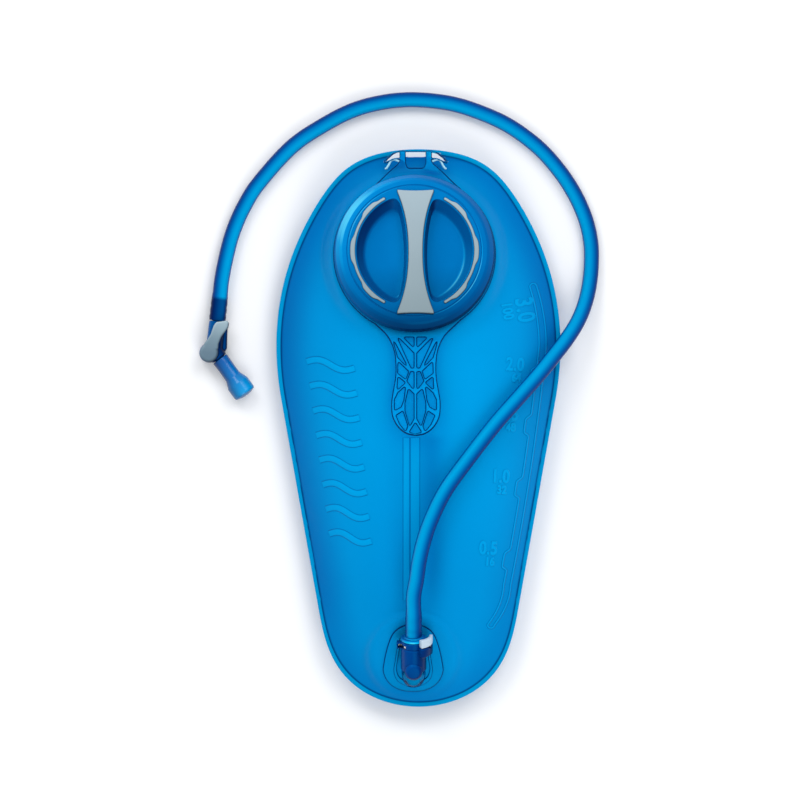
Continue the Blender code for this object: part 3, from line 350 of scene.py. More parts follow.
def plate(name, outlines, low, high, edge=0.0, fine=2, where=None):
    return to_mesh(flat_mesh(name, outlines, low, high, edge, fine), name, where)


def turned(name, profile, steps, where=None, closed=False, corner_steps=5):
    """A turned solid, from (radius, height, corner radius) points in millimetres."""
    return to_mesh(lathe(rounded(profile, closed, corner_steps), steps, closed), name, where)


def cylinder(name, radius, start, end, steps, where=None):
    profile = [(0, start * MM), (radius * MM, start * MM), (radius * MM, end * MM), (0, end * MM)]
    return to_mesh(lathe(profile, steps, closed=False), name, where)


def combine(name, first, others, operation="UNION", sharp=35):
    """The boolean of one mesh with others, as a new mesh. The ones that go in are removed."""
    body = new_object(name, first)
    tools = [new_object(f"{name}_{i}", mesh) for i, mesh in enumerate(others)]
    for tool in tools:
        modifier = body.modifiers.new("join", "BOOLEAN")
        modifier.operation = operation
        modifier.solver = "EXACT"
        modifier.object = tool
    made = baked(body, name)
    for tool in tools:
        discard(tool)
    made.shade_smooth()
    made.set_sharp_from_angle(angle=radians(sharp))
    return made


def melt(name, meshes, voxel, rounds):
    """Solids melted together into one smooth skin."""
    helper = new_object(name, emptied(gathered(meshes), name))
    remesh = helper.modifiers.new("remesh", "REMESH")
    remesh.mode = "VOXEL"
    remesh.voxel_size = voxel
    relax = helper.modifiers.new("relax", "SMOOTH")
    relax.factor = 0.5
    relax.iterations = rounds
    made = baked(helper, name)
    made.shade_smooth()
    return made


def sweep(points, radius_of, sides=24):
    """Rings of points round a path, one list for each path point."""
    count = len(points)
    length = [0]
    for a, b in zip(points, points[1:]):
        length.append(length[-1] + (b - a).length)
    up = Vector((0, 0, 1))
    rings = []
    for i, p in enumerate(points):
        along = (points[min(i + 1, count - 1)] - points[max(i - 1, 0)]).normalized()
        side = along.cross(up).normalized()
        up = side.cross(along).normalized()
        r = radius_of(length[i], length[-1])
        rings.append(
            [p + (side * cos(2 * pi * k / sides) + up * sin(2 * pi * k / sides)) * r for k in range(sides)]
        )
    return rings


# Materials


def new_look(name, colour, roughness, **sockets):
    """A Principled material. Sockets are given by name with _ for each space."""
    look = bpy.data.materials.new(name)
    look.use_nodes = True
    shader = look.node_tree.nodes["Principled BSDF"]
    shader.inputs["Base Color"].default_value = (*colour, 1)
    shader.inputs["Roughness"].default_value = roughness
    for key, value in sockets.items():
        shader.inputs[key.replace("_", " ")].default_value = value
    return look


def add_node(look, kind, **values):
    node = look.node_tree.nodes.new(kind)
    for key, value in values.items():
        if hasattr(node, key):
            setattr(node, key, value)
        else:
            node.inputs[key.replace("_", " ")].default_value = value
    return node


def link(look, start, end):
    look.node_tree.links.new(start, end)


def noise_at(look, scale, detail=3):
    where = add_node(look, "ShaderNodeTexCoord")
    grain = add_node(look, "ShaderNodeTexNoise", Scale=scale, Detail=detail)
    link(look, where.outputs["Object"], grain.inputs["Vector"])
    return grain


def shader_of(look):
    return look.node_tree.nodes["Principled BSDF"]


def add_bump(look, scale, distance, strength=1.0):
    """Fine relief in the surface. distance is its depth in metres."""
    grain = noise_at(look, scale)
    bump = add_node(look, "ShaderNodeBump", Strength=strength, Distance=distance)
    link(look, grain.outputs["Fac"], bump.inputs["Height"])
    link(look, bump.outputs["Normal"], shader_of(look).inputs["Normal"])


def noise_between(look, scale, low, high):
    """A slow noise over the object, as values from low to high."""
    grain = noise_at(look, scale)
    spread = add_node(look, "ShaderNodeMapRange", To_Min=low, To_Max=high)
    link(look, grain.outputs["Fac"], spread.inputs["Value"])
    return spread.outputs["Result"]


def multiplied(look, first, second):
    """The product of two colours. The first is a socket or a colour."""
    mix = add_node(look, "ShaderNodeMix", data_type="RGBA", blend_type="MULTIPLY")
    mix.inputs["Factor"].default_value = 1
    if isinstance(first, tuple):
        mix.inputs[6].default_value = (*first, 1)
    else:
        link(look, first, mix.inputs[6])
    link(look, second, mix.inputs[7])
    return mix.outputs[2]


def add_mottle(look, source, scale, amount):
    """Feeds the base colour with a socket or a colour, made slightly uneven."""
    mottled = multiplied(look, source, noise_between(look, scale, 1 - amount, 1 + amount))
    link(look, mottled, shader_of(look).inputs["Base Color"])


def add_roughness(look, scale, low, high):
    link(look, noise_between(look, scale, low, high), shader_of(look).inputs["Roughness"])


def let_light_through(look, share, tint):
    """Mixes in a see-through share of the given colour, and lets lamps reach what is behind."""
    output = look.node_tree.nodes["Material Output"]
    clear = add_node(look, "ShaderNodeBsdfTransparent", Color=(*tint, 1))
    mix = add_node(look, "ShaderNodeMixShader")
    mix.inputs[0].default_value = share
    link(look, shader_of(look).outputs[0], mix.inputs[1])
    link(look, clear.outputs[0], mix.inputs[2])
    link(look, mix.outputs[0], output.inputs["Surface"])
    return mix


def linear(red, green, blue):
    """A colour from its 0 to 255 screen values."""
    values = (red / 255, green / 255, blue / 255)
    return tuple(v / 12.92 if v < 10 / 255 else ((v + 0.055) / 1.055) ** 2.4 for v in values)


def ramp_of(look, value, low, high, stops):
    """A colour ramp over a value. Stops are (value, screen colour)."""
    spread = add_node(look, "ShaderNodeMapRange", From_Min=low, From_Max=high)
    link(look, value, spread.inputs["Value"])
    ramp = add_node(look, "ShaderNodeValToRGB")
    elements = ramp.color_ramp.elements
    for i, (at, colour) in enumerate(stops):
        share = (at - low) / (high - low)
        element = elements[i] if i < 2 else elements.new(share)
        element.position = share
        element.color = (*linear(*colour), 1)
    link(look, spread.outputs["Result"], ramp.inputs[0])
    return ramp.outputs["Color"]


def dot_with(look, vector, direction):
    dot = add_node(look, "ShaderNodeVectorMath", operation="DOT_PRODUCT")
    link(look, vector, dot.inputs[0])
    dot.inputs[1].default_value = Vector(direction).normalized()
    return dot.outputs["Value"]


def painted_light_by_facing(look, towards, stops):
    """Painted light and shade: a colour ramp over how far the surface faces a direction, darker on the sides
    turned away from it.
    """
    facing = add_node(look, "ShaderNodeNewGeometry")
    return ramp_of(look, dot_with(look, facing.outputs["Normal"], towards), -0.5, 1.0, stops)


def placed_colour(look, start, end, stops):
    """A ramp over how far along the line from start to end a point of the object lies."""
    where = add_node(look, "ShaderNodeTexCoord")
    along = Vector(end) - Vector(start)
    low = Vector(start).dot(along.normalized())
    value = dot_with(look, where.outputs["Object"], along)
    stops = [(low + share * along.length, colour) for share, colour in stops]
    return ramp_of(look, value, low, low + along.length, stops)


def add_finish(look, colour, mottle, roughness, grain, depth):
    """A moulding's skin: a slightly uneven colour and gloss, and fine relief."""
    add_mottle(look, colour, 60, mottle)
    add_roughness(look, 120, roughness * 0.85, roughness * 1.2)
    add_bump(look, grain, depth)


def shaded_look(name, towards, stops, roughness, grain=900, depth=0.00001, along=None, **sockets):
    """A moulding with light and shade painted into its colour: it deepens on the sides that face away from a
    direction (painted shade), and along a line.
    """
    look = new_look(name, linear(*stops[-1][1]), roughness, **sockets)
    colour = painted_light_by_facing(look, towards, stops)
    if along:
        colour = multiplied(look, colour, placed_colour(look, *along))
    add_finish(look, colour, 0.04, roughness, grain, depth)
    return look


def film_look():
    look = new_look("film_look", linear(0, 150, 220), 0.34, **BLUE_GLOSS)
    # The tint attribute carries the film's colour with painted shade near the weld and a painted sheen on its
    # crest
    tint = add_node(look, "ShaderNodeAttribute", attribute_name="tint")
    add_mottle(look, tint.outputs["Color"], 14, 0.05)
    add_roughness(look, 60, 0.28, 0.4)
    add_bump(look, 110, 0.00012)
    let_light_through(look, 0.15, linear(0, 200, 255))
    return look


def clear_look(name, towards, lowest, highest):
    """Clear blue moulding: see-through where it faces up, with painted shade on every slope below the lowest
    facing and a painted highlight where it faces straight along the direction.
    """
    look = new_look(name, linear(0, 160, 230), 0.12, **BLUE_GLOSS)
    # painted shade on the slopes, standing for light bent away by the clear plastic, and a painted highlight
    # at full facing
    stops = [
        (-0.4, (0, 40, 100)), (0.5, (2, 24, 68)), (lowest, (0, 40, 100)), (highest, (0, 150, 222)),
        (1.0, (0, 178, 246)),
    ]
    add_mottle(look, painted_light_by_facing(look, towards, stops), 50, 0.03)
    add_roughness(look, 90, 0.08, 0.18)
    see_through = let_light_through(look, 0.0, linear(0, 250, 255))
    facing = add_node(look, "ShaderNodeNewGeometry")
    share = add_node(look, "ShaderNodeMapRange", From_Min=lowest, From_Max=highest, To_Min=0.05, To_Max=0.6)
    link(look, dot_with(look, facing.outputs["Normal"], towards), share.inputs["Value"])
    link(look, share.outputs["Result"], see_through.inputs[0])
    lit = add_node(look, "ShaderNodeBsdfTransparent", Color=(*linear(120, 235, 255), 1))
    path = add_node(look, "ShaderNodeLightPath")
    mix = add_node(look, "ShaderNodeMixShader")
    link(look, path.outputs["Is Shadow Ray"], mix.inputs[0])
    link(look, see_through.outputs[0], mix.inputs[1])
    link(look, lit.outputs[0], mix.inputs[2])
    link(look, mix.outputs[0], look.node_tree.nodes["Material Output"].inputs["Surface"])
    return look


def plastic_look(name, colour, roughness, mottle=0.05, grain=900, depth=0.00001, **sockets):
    look = new_look(name, colour, roughness, **sockets)
    add_finish(look, colour, mottle, roughness, grain, depth)
    return look


def tube_look():
    gloss = {**BLUE_GLOSS, "Specular_IOR_Level": 0.12}
    look = new_look("tube_look", linear(0, 150, 214), 0.2, **gloss)
    # The tint attribute carries the tube's colour with its painted highlight band, painted shade at its
    # edges, and its darker sleeves
    tint = add_node(look, "ShaderNodeAttribute", attribute_name="tint")
    add_mottle(look, tint.outputs["Color"], 60, 0.04)
    add_roughness(look, 120, 0.16, 0.26)
    add_bump(look, 150, 0.00003)
    return look


LOOKS = {}
BLUE_GLOSS = dict(Specular_Tint=(0.0, 0.5, 1.0, 1.0), Specular_IOR_Level=0.22)
UPPER_LEFT = (-0.42, 0.3, 0.86)
UP = Vector((0, 0, 1))


def make_looks():
    LOOKS["film"] = film_look()
    # Clear mouldings: painted shade on their slopes and a painted highlight where they face up
    LOOKS["clear"] = clear_look("clear_look", UP, 0.93, 0.975)
    LOOKS["exit"] = clear_look("exit_look", EXIT.to_3x3() @ UP, 0.93, 0.975)
    LOOKS["cup"] = clear_look("cup_look", UP, 0.1, 0.5)
    # Lid: painted shade on the sides away from the upper left and a painted highlight on the rim that faces
    # it
    stops = [
        (-0.5, (4, 24, 66)), (-0.2, (3, 44, 100)), (0.1, (0, 86, 152)), (0.45, (0, 92, 160)),
        (0.74, (0, 101, 169)),
        (0.88, (2, 122, 192)), (0.96, (10, 150, 214)), (1.0, (84, 204, 240)),
    ]
    # painted shade, deepening towards the lid's lower edge
    ends = (
        PORT @ Vector((0, 0.055, 0)), PORT @ Vector((0, -0.061, 0)),
        [(0, (255, 255, 255)), (0.55, (250, 250, 250)), (0.84, (206, 210, 214)), (1, (120, 130, 142))],
    )
    LOOKS["lid"] = shaded_look("lid_look", (-0.52, 0.46, 0.72), stops, 0.2, 500, 0.00001, ends, **BLUE_GLOSS)
    # Grips: painted shade and a white painted highlight by facing
    stops = [(-0.3, (110, 120, 124)), (0.5, (196, 204, 208)), (0.9, (240, 243, 244)), (1.0, (255, 255, 255))]
    # painted shade, deepening towards the bar's lower end
    ends = (
        PORT @ Vector((0, 0.0457, 0)), PORT @ Vector((0, -0.0457, 0)),
        [(0, (160, 178, 187)), (1, (128, 146, 153))],
    )
    LOOKS["grip"] = shaded_look("grip_look", (-0.2, 0.5, 0.84), stops, 0.6, 1500, 0.00003, ends)
    # Lever: painted shade and a white painted highlight by facing
    stops = [(-0.3, (80, 96, 106)), (0.35, (160, 176, 184)), (0.8, (226, 234, 238)), (1.0, (255, 255, 255))]
    ends = (
        HUB @ Vector((0, 0, 0)), HUB @ (LEVER_DIRECTION * 0.026),
        [(0, (106, 130, 145)), (0.45, (132, 154, 165)), (1, (178, 196, 203))],
    )
    LOOKS["lever"] = shaded_look("lever_look", (-0.5, 0.5, 0.7), stops, 0.5, 1500, 0.00002, ends)
    LOOKS["tube"] = tube_look()
    # Socket: painted shade on the sides away from the upper left
    stops = [(-0.2, (0, 22, 72)), (0.5, (0, 40, 106)), (1.0, (0, 70, 146))]
    LOOKS["socket"] = shaded_look("socket_look", UPPER_LEFT, stops, 0.25, **BLUE_GLOSS)
    # Collar: painted shade by facing and a painted highlight on its rim
    stops = [(0.0, (0, 86, 156)), (0.6, (0, 132, 200)), (0.95, (10, 184, 232)), (1.0, (70, 215, 242))]
    LOOKS["collar"] = shaded_look("collar_look", (-0.1, -0.5, 0.86), stops, 0.25, **BLUE_GLOSS)
    # Valve: painted shade on the sides away from the upper left
    stops = [(-0.2, (6, 18, 54)), (0.4, (0, 42, 104)), (1.0, (0, 84, 154))]
    LOOKS["valve"] = shaded_look("valve_look", (-0.75, 0.2, 0.63), stops, 0.35, **BLUE_GLOSS)
    # Mouthpiece: painted shade and a white painted highlight by facing, times its blue, which deepens towards
    # the hub
    stops = [(-0.2, (110, 130, 150)), (0.4, (170, 186, 196)), (0.8, (228, 236, 240)), (1.0, (255, 255, 255))]
    ends = (
        OUTLET @ Vector((0, 0, 0.008)), OUTLET @ Vector((0, 0, 0.043)),
        [(0, (0, 84, 158)), (0.5, (0, 116, 188)), (1, (0, 160, 224))],
    )
    gloss = dict(Specular_IOR_Level=0.32)
    LOOKS["bite"] = shaded_look("bite_look", (0.25, 0.35, 0.9), stops, 0.2, 700, 0.00001, ends, **gloss)
    LOOKS["button"] = plastic_look("button_look", linear(186, 204, 220), 0.4, 0.02)
    # a pale colour for the rods along the hooks' edges: a painted highlight
    LOOKS["lip"] = plastic_look("hook_highlight_look", linear(150, 205, 226), 0.2, 0.04)
    LOOKS["seal"] = plastic_look("seal_look", linear(30, 31, 34), 0.55, 0.1, 1500, 0.00002)
    LOOKS["steel"] = plastic_look("steel_look", (0.62, 0.63, 0.65), 0.25, 0.03, 1200, 0.000004, Metallic=1.0)


# The bag's shape, as part.py has it


def smoothstep(value):
    value = min(max(value, 0), 1)
    return value * value * (3 - 2 * value)


def lower_half_width(y):
    """Half the bag's width below its widest place."""
    if y >= TAPER_Y:
        return BAG_HALF_WIDTH - (BAG_HALF_WIDTH - TAPER_WIDTH) * ((WIDEST_Y - y) / (WIDEST_Y - TAPER_Y)) ** 2
    tapered = TAPER_WIDTH - TAPER_SLOPE * (TAPER_Y - y)
    if y >= FOOT_Y:
        return tapered
    foot = (FOOT_Y - y) / (FOOT_Y + BAG_HALF_LENGTH)
    return tapered * sqrt(max(1 - foot**3.5, 0))


def rim_half_width(y):
    """Half the width of the weld's outer edge, which arches over the hanging tab."""
    if abs(y) >= BAG_HALF_LENGTH:
        return 0
    if y < WIDEST_Y:
        return lower_half_width(y)
    t = (y - WIDEST_Y) / (BAG_HALF_LENGTH - WIDEST_Y)
    return BAG_HALF_WIDTH * sqrt(1 - t**2) * (1 + 0.38 * t**8)


def weld_half_width(y):
    """Half the width of the weld's inner edge."""
    reach = BAG_HALF_LENGTH - WELD_WIDTH
    if abs(y) >= reach:
        return 0
    return rim_half_width(y * BAG_HALF_LENGTH / reach) * (1 - WELD_WIDTH / BAG_HALF_WIDTH)


def film_half_width(y):
    """Half the width of the swelling part of the films."""
    low = -BAG_HALF_LENGTH + WELD_WIDTH
    high = BAG_TOP_Y - WELD_WIDTH
    if y <= low or y >= high:
        return 0
    y = -BAG_HALF_LENGTH + (y - low) * (BAG_TOP_Y + BAG_HALF_LENGTH) / (high - low)
    if y > TOP_CORNER_Y:
        corner = (y - TOP_CORNER_Y) / (BAG_TOP_Y - TOP_CORNER_Y)
        width = rim_half_width(TOP_CORNER_Y) * (1 - corner**2.5) ** 0.4
    else:
        width = rim_half_width(y)
    return width * (1 - WELD_WIDTH / BAG_HALF_WIDTH)


def fullness(x, y):
    """1 at the crest and 0 on the weld."""
    width = film_half_width(y)
    if width <= abs(x):
        return 0
    end = BAG_TOP_Y - WELD_WIDTH if y > CREST_Y else -BAG_HALF_LENGTH + WELD_WIDTH
    power = 1.6 if y > CREST_Y else 3
    along = min(abs((y - CREST_Y) / (end - CREST_Y)), 1)
    return (1 - (abs(x) / width) ** 2.3) * (1 - along**power)


def seam_height(y):
    return SEAM_Z + SEAM_RISE * smoothstep((y - 100 * MM) / (BAG_TOP_Y - 100 * MM))


def patch(x, y, height, at, tilt, disc, blend):
    """The height, flattened to a port's tilted disc near that port."""
    away = hypot(x - at.x, (y - at.y) / cos(tilt))
    flat = at.z - (y - at.y) * tan(tilt)
    share = smoothstep((blend - away) / (blend - disc))
    return height + (flat - height) * share


def plain_height(x, y):
    """Height of the front film's outer side, without its fine relief."""
    height = seam_height(y) + CREST_RISE * fullness(x, y)
    middle = (BAFFLE_LOW_Y + BAFFLE_HIGH_Y) / 2
    along = smoothstep(1.35 - abs(y - middle) / (BAFFLE_HIGH_Y - middle))
    height -= BAFFLE_DIP * along * exp(-(((x - BAFFLE_X) / BAFFLE_DIP_WIDTH) ** 2))
    height = patch(x, y, height, PORT_AT, PORT_TILT, PORT_DISC_R, PORT_BLEND_R)
    return patch(x, y, height, EXIT_AT, -EXIT_TILT, EXIT_DISC_R, EXIT_BLEND_R)


def weld_distance(x, y):
    """Rough distance in from the weld's inner edge."""
    across = weld_half_width(y) - abs(x)
    ends = BAG_HALF_LENGTH - WELD_WIDTH - abs(y)
    slope = abs(weld_half_width(y + MM) - weld_half_width(y - MM)) / (2 * MM) if ends > MM else 10
    return max(min(across / sqrt(1 + slope**2), ends), 0)


def front_height(x, y):
    """The front film's outer side with small puckers along its weld and slow waves in its skin."""
    height = plain_height(x, y)
    inward = weld_distance(x, y)
    near = exp(-((inward / (9 * MM)) ** 2)) * min(inward / (2 * MM), 1)
    pucker = noise.noise(Vector((x, y, 0)) / (11 * MM)) * 0.5 * MM
    wave = noise.noise(Vector((x, y * 0.6, 3)) / (42 * MM)) * 0.5 * MM * min(inward / (20 * MM), 1)
    off_ports = 1 - smoothstep((76 * MM - hypot(x - PORT_AT.x, y - PORT_AT.y)) / (12 * MM))
    off_ports *= 1 - smoothstep((46 * MM - hypot(x - EXIT_AT.x, y - EXIT_AT.y)) / (10 * MM))
    return height + (near * pucker + wave) * off_ports


def back_height(x, y):
    """Height of the back film's outer side, which is flat on the floor in the middle."""
    share = min(fullness(x, y) / BACK_FLAT_SHARE, 1)
    return (seam_height(y) - FILM * 2) * (1 - share) ** 1.3


def mixed(a, b, share):
    return tuple(p + (q - p) * share for p, q in zip(a, b))


# The film's blues: a darker one for painted shade, its own middle blue, a lighter one for painted sheen, the
# weld's own blue, and a dark one for painted shade in the groove along the weld
FILM_SHADE_BLUE = linear(0, 112, 186)
MIDDLE = linear(0, 146, 213)
FILM_SHEEN_BLUE = linear(0, 160, 227)
RIM_MIDDLE = linear(0, 150, 206)
WELD_GROOVE_SHADE = linear(0, 66, 132)


# Where the painted sheen lies on the film
SHEEN_X = 44 * MM
SHEEN_Y = 10 * MM
SHEEN_WIDTH = 34 * MM
SHEEN_LENGTH = 90 * MM


def film_colour_with_painted_light(x, y):
    """The film's colour with light and shade painted in: painted shade near the weld and at the foot, a
    painted sheen brightest below the lid on both sides, painted shade beside the baffle weld and in the
    weld's groove.
    """
    inward = weld_distance(x, y)
    if abs(x) >= weld_half_width(y):
        return RIM_MIDDLE
    # painted shade near the weld, eased on the lower right and at the foot
    right = smoothstep(x / (60 * MM)) * smoothstep((70 * MM - y) / (60 * MM))
    low = smoothstep((-110 * MM - y) / (60 * MM))
    edge = mixed(FILM_SHADE_BLUE, MIDDLE, max(0.5 * right, 0.4 * low))
    colour = mixed(edge, MIDDLE, smoothstep(inward / (30 * MM)))
    # painted sheen on both sides below the lid
    for side, share in ((-1, 0.8), (1, 1.0)):
        lit = exp(-(((x - side * SHEEN_X) / SHEEN_WIDTH) ** 2) - ((y - SHEEN_Y) / SHEEN_LENGTH) ** 2)
        colour = mixed(colour, FILM_SHEEN_BLUE, share * lit)
    # painted shade to the right of the baffle weld
    shade = exp(-(((x - 10 * MM) / (9 * MM)) ** 2)) * smoothstep((-2 * MM - y) / (8 * MM))
    colour = mixed(colour, FILM_SHADE_BLUE, 0.5 * shade * smoothstep((y + 150 * MM) / (50 * MM)))
    # painted shade in the groove along the weld's inner edge
    return mixed(WELD_GROOVE_SHADE, colour, smoothstep(inward / (1.6 * MM)))


# The films

AROUND = 150  # points on each side's outline
WELD_STEPS = (0, 0.1, 0.45, 0.8, 1)
WELD_RELIEF = (-0.25, 0.1, 0.15, 0.05, -0.35)  # a bead along the edge and a groove inside it, in millimetres
SPINE_LOW_Y = -125 * MM
SPINE_HIGH_Y = 60 * MM


def side_outline(width_of, high):
    """Points up the right side of an outline, evenly spaced."""
    fine = 900
    heights = [-high * cos(pi * i / fine) for i in range(fine + 1)]
    return resample([(width_of(y), y) for y in heights], AROUND)


def film_mesh(height_of, rings, up):
    """One film: a weld band, then rings that shrink to the bag's spine, left for film() to thicken inwards.
    """
    outer = side_outline(rim_half_width, BAG_HALF_LENGTH)
    inner = side_outline(weld_half_width, BAG_HALF_LENGTH - WELD_WIDTH)
    spine = [Vector((0, SPINE_LOW_Y + (SPINE_HIGH_Y - SPINE_LOW_Y) * i / AROUND)) for i in range(AROUND + 1)]
    loops = []
    for step, relief in zip(WELD_STEPS, WELD_RELIEF):
        loops.append(([a.lerp(b, step) for a, b in zip(outer, inner)], relief * MM * (1 if up else -1)))
    for ring in range(1, rings + 1):
        share = 1 - (ring / rings) ** 1.5
        loops.append(([s.lerp(p, share) for s, p in zip(spine, inner)], 0))
    bm = bmesh.new()
    colours = bm.verts.layers.float_color.new("tint")
    rows = []
    for side, relief in loops:
        whole = side + [Vector((-p.x, p.y)) for p in reversed(side[1:-1])]
        row = []
        for p in whole:
            vertex = bm.verts.new((p.x, p.y, height_of(p.x, p.y) + relief))
            # the film's colour with its painted shade and painted sheen
            vertex[colours] = (*film_colour_with_painted_light(p.x, p.y), 1)
            row.append(vertex)
        rows.append(row)
    for a, b in zip(rows, rows[1:]):
        for i in range(len(a)):
            j = (i + 1) % len(a)
            bm.faces.new((a[i], a[j], b[j], b[i]))
    bmesh.ops.remove_doubles(bm, verts=bm.verts, dist=0.00001)
    loose = [f for f in bm.faces if f.calc_area() < 1e-12]
    bmesh.ops.delete(bm, geom=loose, context="FACES_ONLY")
    if not up:
        bmesh.ops.reverse_faces(bm, faces=bm.faces)
    return bm


def cut_round(bm, centre, radius):
    """Removes the faces inside a round hole that a port's flange covers."""
    inside = [f for f in bm.faces if (f.calc_center_median() - centre).length < radius]
    bmesh.ops.delete(bm, geom=inside, context="FACES")


def thicken(mesh, name):
    helper = new_object(name, mesh)
    solidify = helper.modifiers.new("thickness", "SOLIDIFY")
    solidify.thickness = FILM * 0.95
    solidify.offset = -1
    return baked(helper, name)


def film(name, height_of, rings, up, holes, stands_for):
    """One film of the bag, with round holes in it and the hanging tab's openings through its weld."""
    bm = film_mesh(height_of, rings, up)
    for centre, radius in holes:
        cut_round(bm, centre, radius)
    mesh = thicken(emptied(bm, name), name)
    mesh = combine(name, mesh, tab_openings(), "DIFFERENCE", 50)
    add_piece(name, mesh, LOOKS["film"], "reservoir", [stands_for])


def films():
    holes = ((PORT_AT, PORT_HOLE_R), (EXIT_HOLE_AT, EXIT_HOLE_R))
    film("bag_front", front_height, 60, True, holes, "front_film")
    film("bag_back", back_height, 40, False, (), "back_film")


# Hanging tab, in world x and y: the openings run through the tab and through the weld behind it

FILM_SLOT = [(-9.7, 208.1, 0.8), (5.3, 208.1, 0.8), (5.1, 204.3, 0.6), (-9.5, 204.3, 0.6)]
HOOK_GAP = [
    (12.2, 207.7, 0.6), (13.9, 207.5, 1), (16.5, 206.2, 2), (20, 203.3, 2),
    (22.7, 200.4, 0.4), (20.9, 201, 1), (16.6, 202.9, 1), (12.2, 203.4, 0.6),
]
TAB_MIDDLE = -2.1
OPENING_TOP = 60  # higher than the weld anywhere


def tab_openings():
    """The slot and the two hook openings, as cutting meshes through the whole weld."""
    outlines = [rounded(FILM_SLOT)]
    for side in (1, -1):
        outlines.append(rounded([(TAB_MIDDLE + side * x, y, r) for x, y, r in HOOK_GAP]))
    return [plate(f"opening_{i}", [tuples(run)], 0, OPENING_TOP) for i, run in enumerate(outlines)]


# Yoke: ring, hanging tab and carry handle, in the port's frame

RING_PROFILE = [
    (61, 6, 1.4), (61, 2.3, 0.5), (50, 2.3, 0.5), (50, 6, 0.8),
    (57.6, 6, 0.5), (58.2, 5.2, 0.3), (59, 6, 0.3),
]
HANDLE_X = 1
HANDLE_BEND_Y = -67 * MM
HANDLE_BEND = radians(6.4)
HANDLE_WIDTHS = [
    (40, -44), (31, -53), (22, -62), (17, -72), (15.4, -82), (15.5, -93), (17.3, -104),
    (18.5, -113), (17.6, -123), (13, -131), (6.5, -135.6), (0, -136.8),
]
LATTICE = [  # pockets between the ribs on the right half: how far off the handle's middle, and world y
    [(1.35, 68), (8.6, 68), (1.35, 60.8)],
    [(13.6, 68.6), (1.35, 56.2), (1.35, 45.8), (3, 45.8)],
    [(16.4, 65.5), (5.8, 46), (12.9, 53.4), (14.4, 58.4)],
    [(12.7, 49.8), (5.4, 43), (7.2, 37.6), (12.9, 41.8)],
    [(12.9, 38.8), (7.8, 34.8), (13.4, 29.8)],
    [(1.35, 42.6), (3.4, 42.6), (6, 36), (1.35, 30)],
    [(7.6, 32), (12.9, 27.2), (15.3, 22.4), (15.4, 14.8), (10.9, 17.2), (9, 22)],
    [(5.1, 30), (1.35, 26.4), (1.35, 8.6), (4.2, 3.2), (7.4, 14.2), (7.4, 20)],
    [(14.2, 10.8), (9.4, 13.8), (6, 3.2), (7.3, -0.4), (11.4, 4.6)],
]
LATTICE_FOOT = [(0, 5.4), (4.3, -1.3), (0, -2.3), (-4.3, -1.3)]
HANDLE_MIDDLE = -2.4
TAB_EDGE = [
    (34, 180, 0), (29.7, 183.6, 6), (20.9, 192.3, 10), (13.6, 198.6, 4), (11.4, 202.3, 1), (16.3, 201.9, 1),
    (20.6, 199.9, 1), (23.4, 199, 0.6), (24, 200.8, 0.8), (20.8, 204.5, 4), (17, 207.3, 4), (12.4, 208.8, 3),
]
TAB_SLOT = [
    (7.5, 208, 0.8), (-7.5, 208, 0.8), (-7.3, 199.5, 2), (-6.1, 195.8, 2), (6.1, 195.8, 2), (7.3, 199.5, 2),
]
# The path of each rod along a hook's edge, coloured as a painted highlight
HOOK_HIGHLIGHT_PATH = [
    (12, 200.4), (14.3, 201.5), (16.7, 202.1), (18.8, 200.9), (20.5, 197.6), (22.2, 195.3), (23.3, 195.7),
]
YOKE_FACE = 5  # how high the yoke's upper face stands over the port's origin


def in_port(x, y, middle):
    """A point of the yoke, from how far it is off a middle line and its world y, in the port's own plane."""
    up = (y - PORT_AT.y / MM - YOKE_FACE * sin(PORT_TILT)) / cos(PORT_TILT)
    return x + middle - PORT_AT.x / MM, up


def bend_handle(bm):
    everything = bm.verts[:] + bm.edges[:] + bm.faces[:]
    bmesh.ops.bisect_plane(bm, geom=everything, plane_co=(0, HANDLE_BEND_Y, 0), plane_no=(0, 1, 0))
    for vertex in bm.verts:
        vertex.co.z -= tan(HANDLE_BEND) * max(HANDLE_BEND_Y - vertex.co.y, 0)


def pocket_hole(corners):
    """One opening of the lattice, with small rounded corners."""
    return tuples(rounded([(*in_port(x, y, HANDLE_MIDDLE), 0.7) for x, y in corners], steps=4))


def handle_layers():
    """The handle's floor and the ribs that stand on it."""
    right = [(p.x, p.y) for p in smooth_through([(w * MM, y * MM) for w, y in HANDLE_WIDTHS], 6)]
    outline = right + [(-x, y) for x, y in reversed(right[:-1])]
    outline = [(x + HANDLE_X * MM, y) for x, y in outline]
    holes = []
    for pocket in LATTICE:
        for side in (1, -1):
            holes.append(pocket_hole([(side * x, y) for x, y in pocket]))
    holes.append(pocket_hole(LATTICE_FOOT))
    made = []
    for name, outlines, low, high, edge in (
        ("handle_floor", [outline], 2.3, 3.9, 0.9),
        ("handle_ribs", [outline] + holes, 3.7, 6.0, 1.05),
    ):
        bm = flat_mesh(name, outlines, low, high, edge, 3)
        bend_handle(bm)
        made.append(to_mesh(bm, name))
    return made


def in_tab(corners, side, **how):
    """Rounded corners of the hanging tab, on its right side (1) or mirrored to its left (-1)."""
    return rounded([(*in_port(side * x, y, TAB_MIDDLE), r) for x, y, r in corners], **how)


def tab_layer():
    edge = [tuples(in_tab(TAB_EDGE, side, closed=False, steps=6)) for side in (1, -1)]
    outlines = [edge[0] + edge[1][::-1], tuples(in_tab(TAB_SLOT, 1, steps=6))]
    outlines += [tuples(in_tab(HOOK_GAP, side, steps=4)) for side in (1, -1)]
    return plate("tab", outlines, 2.5, 5.3, 0.8, 3)


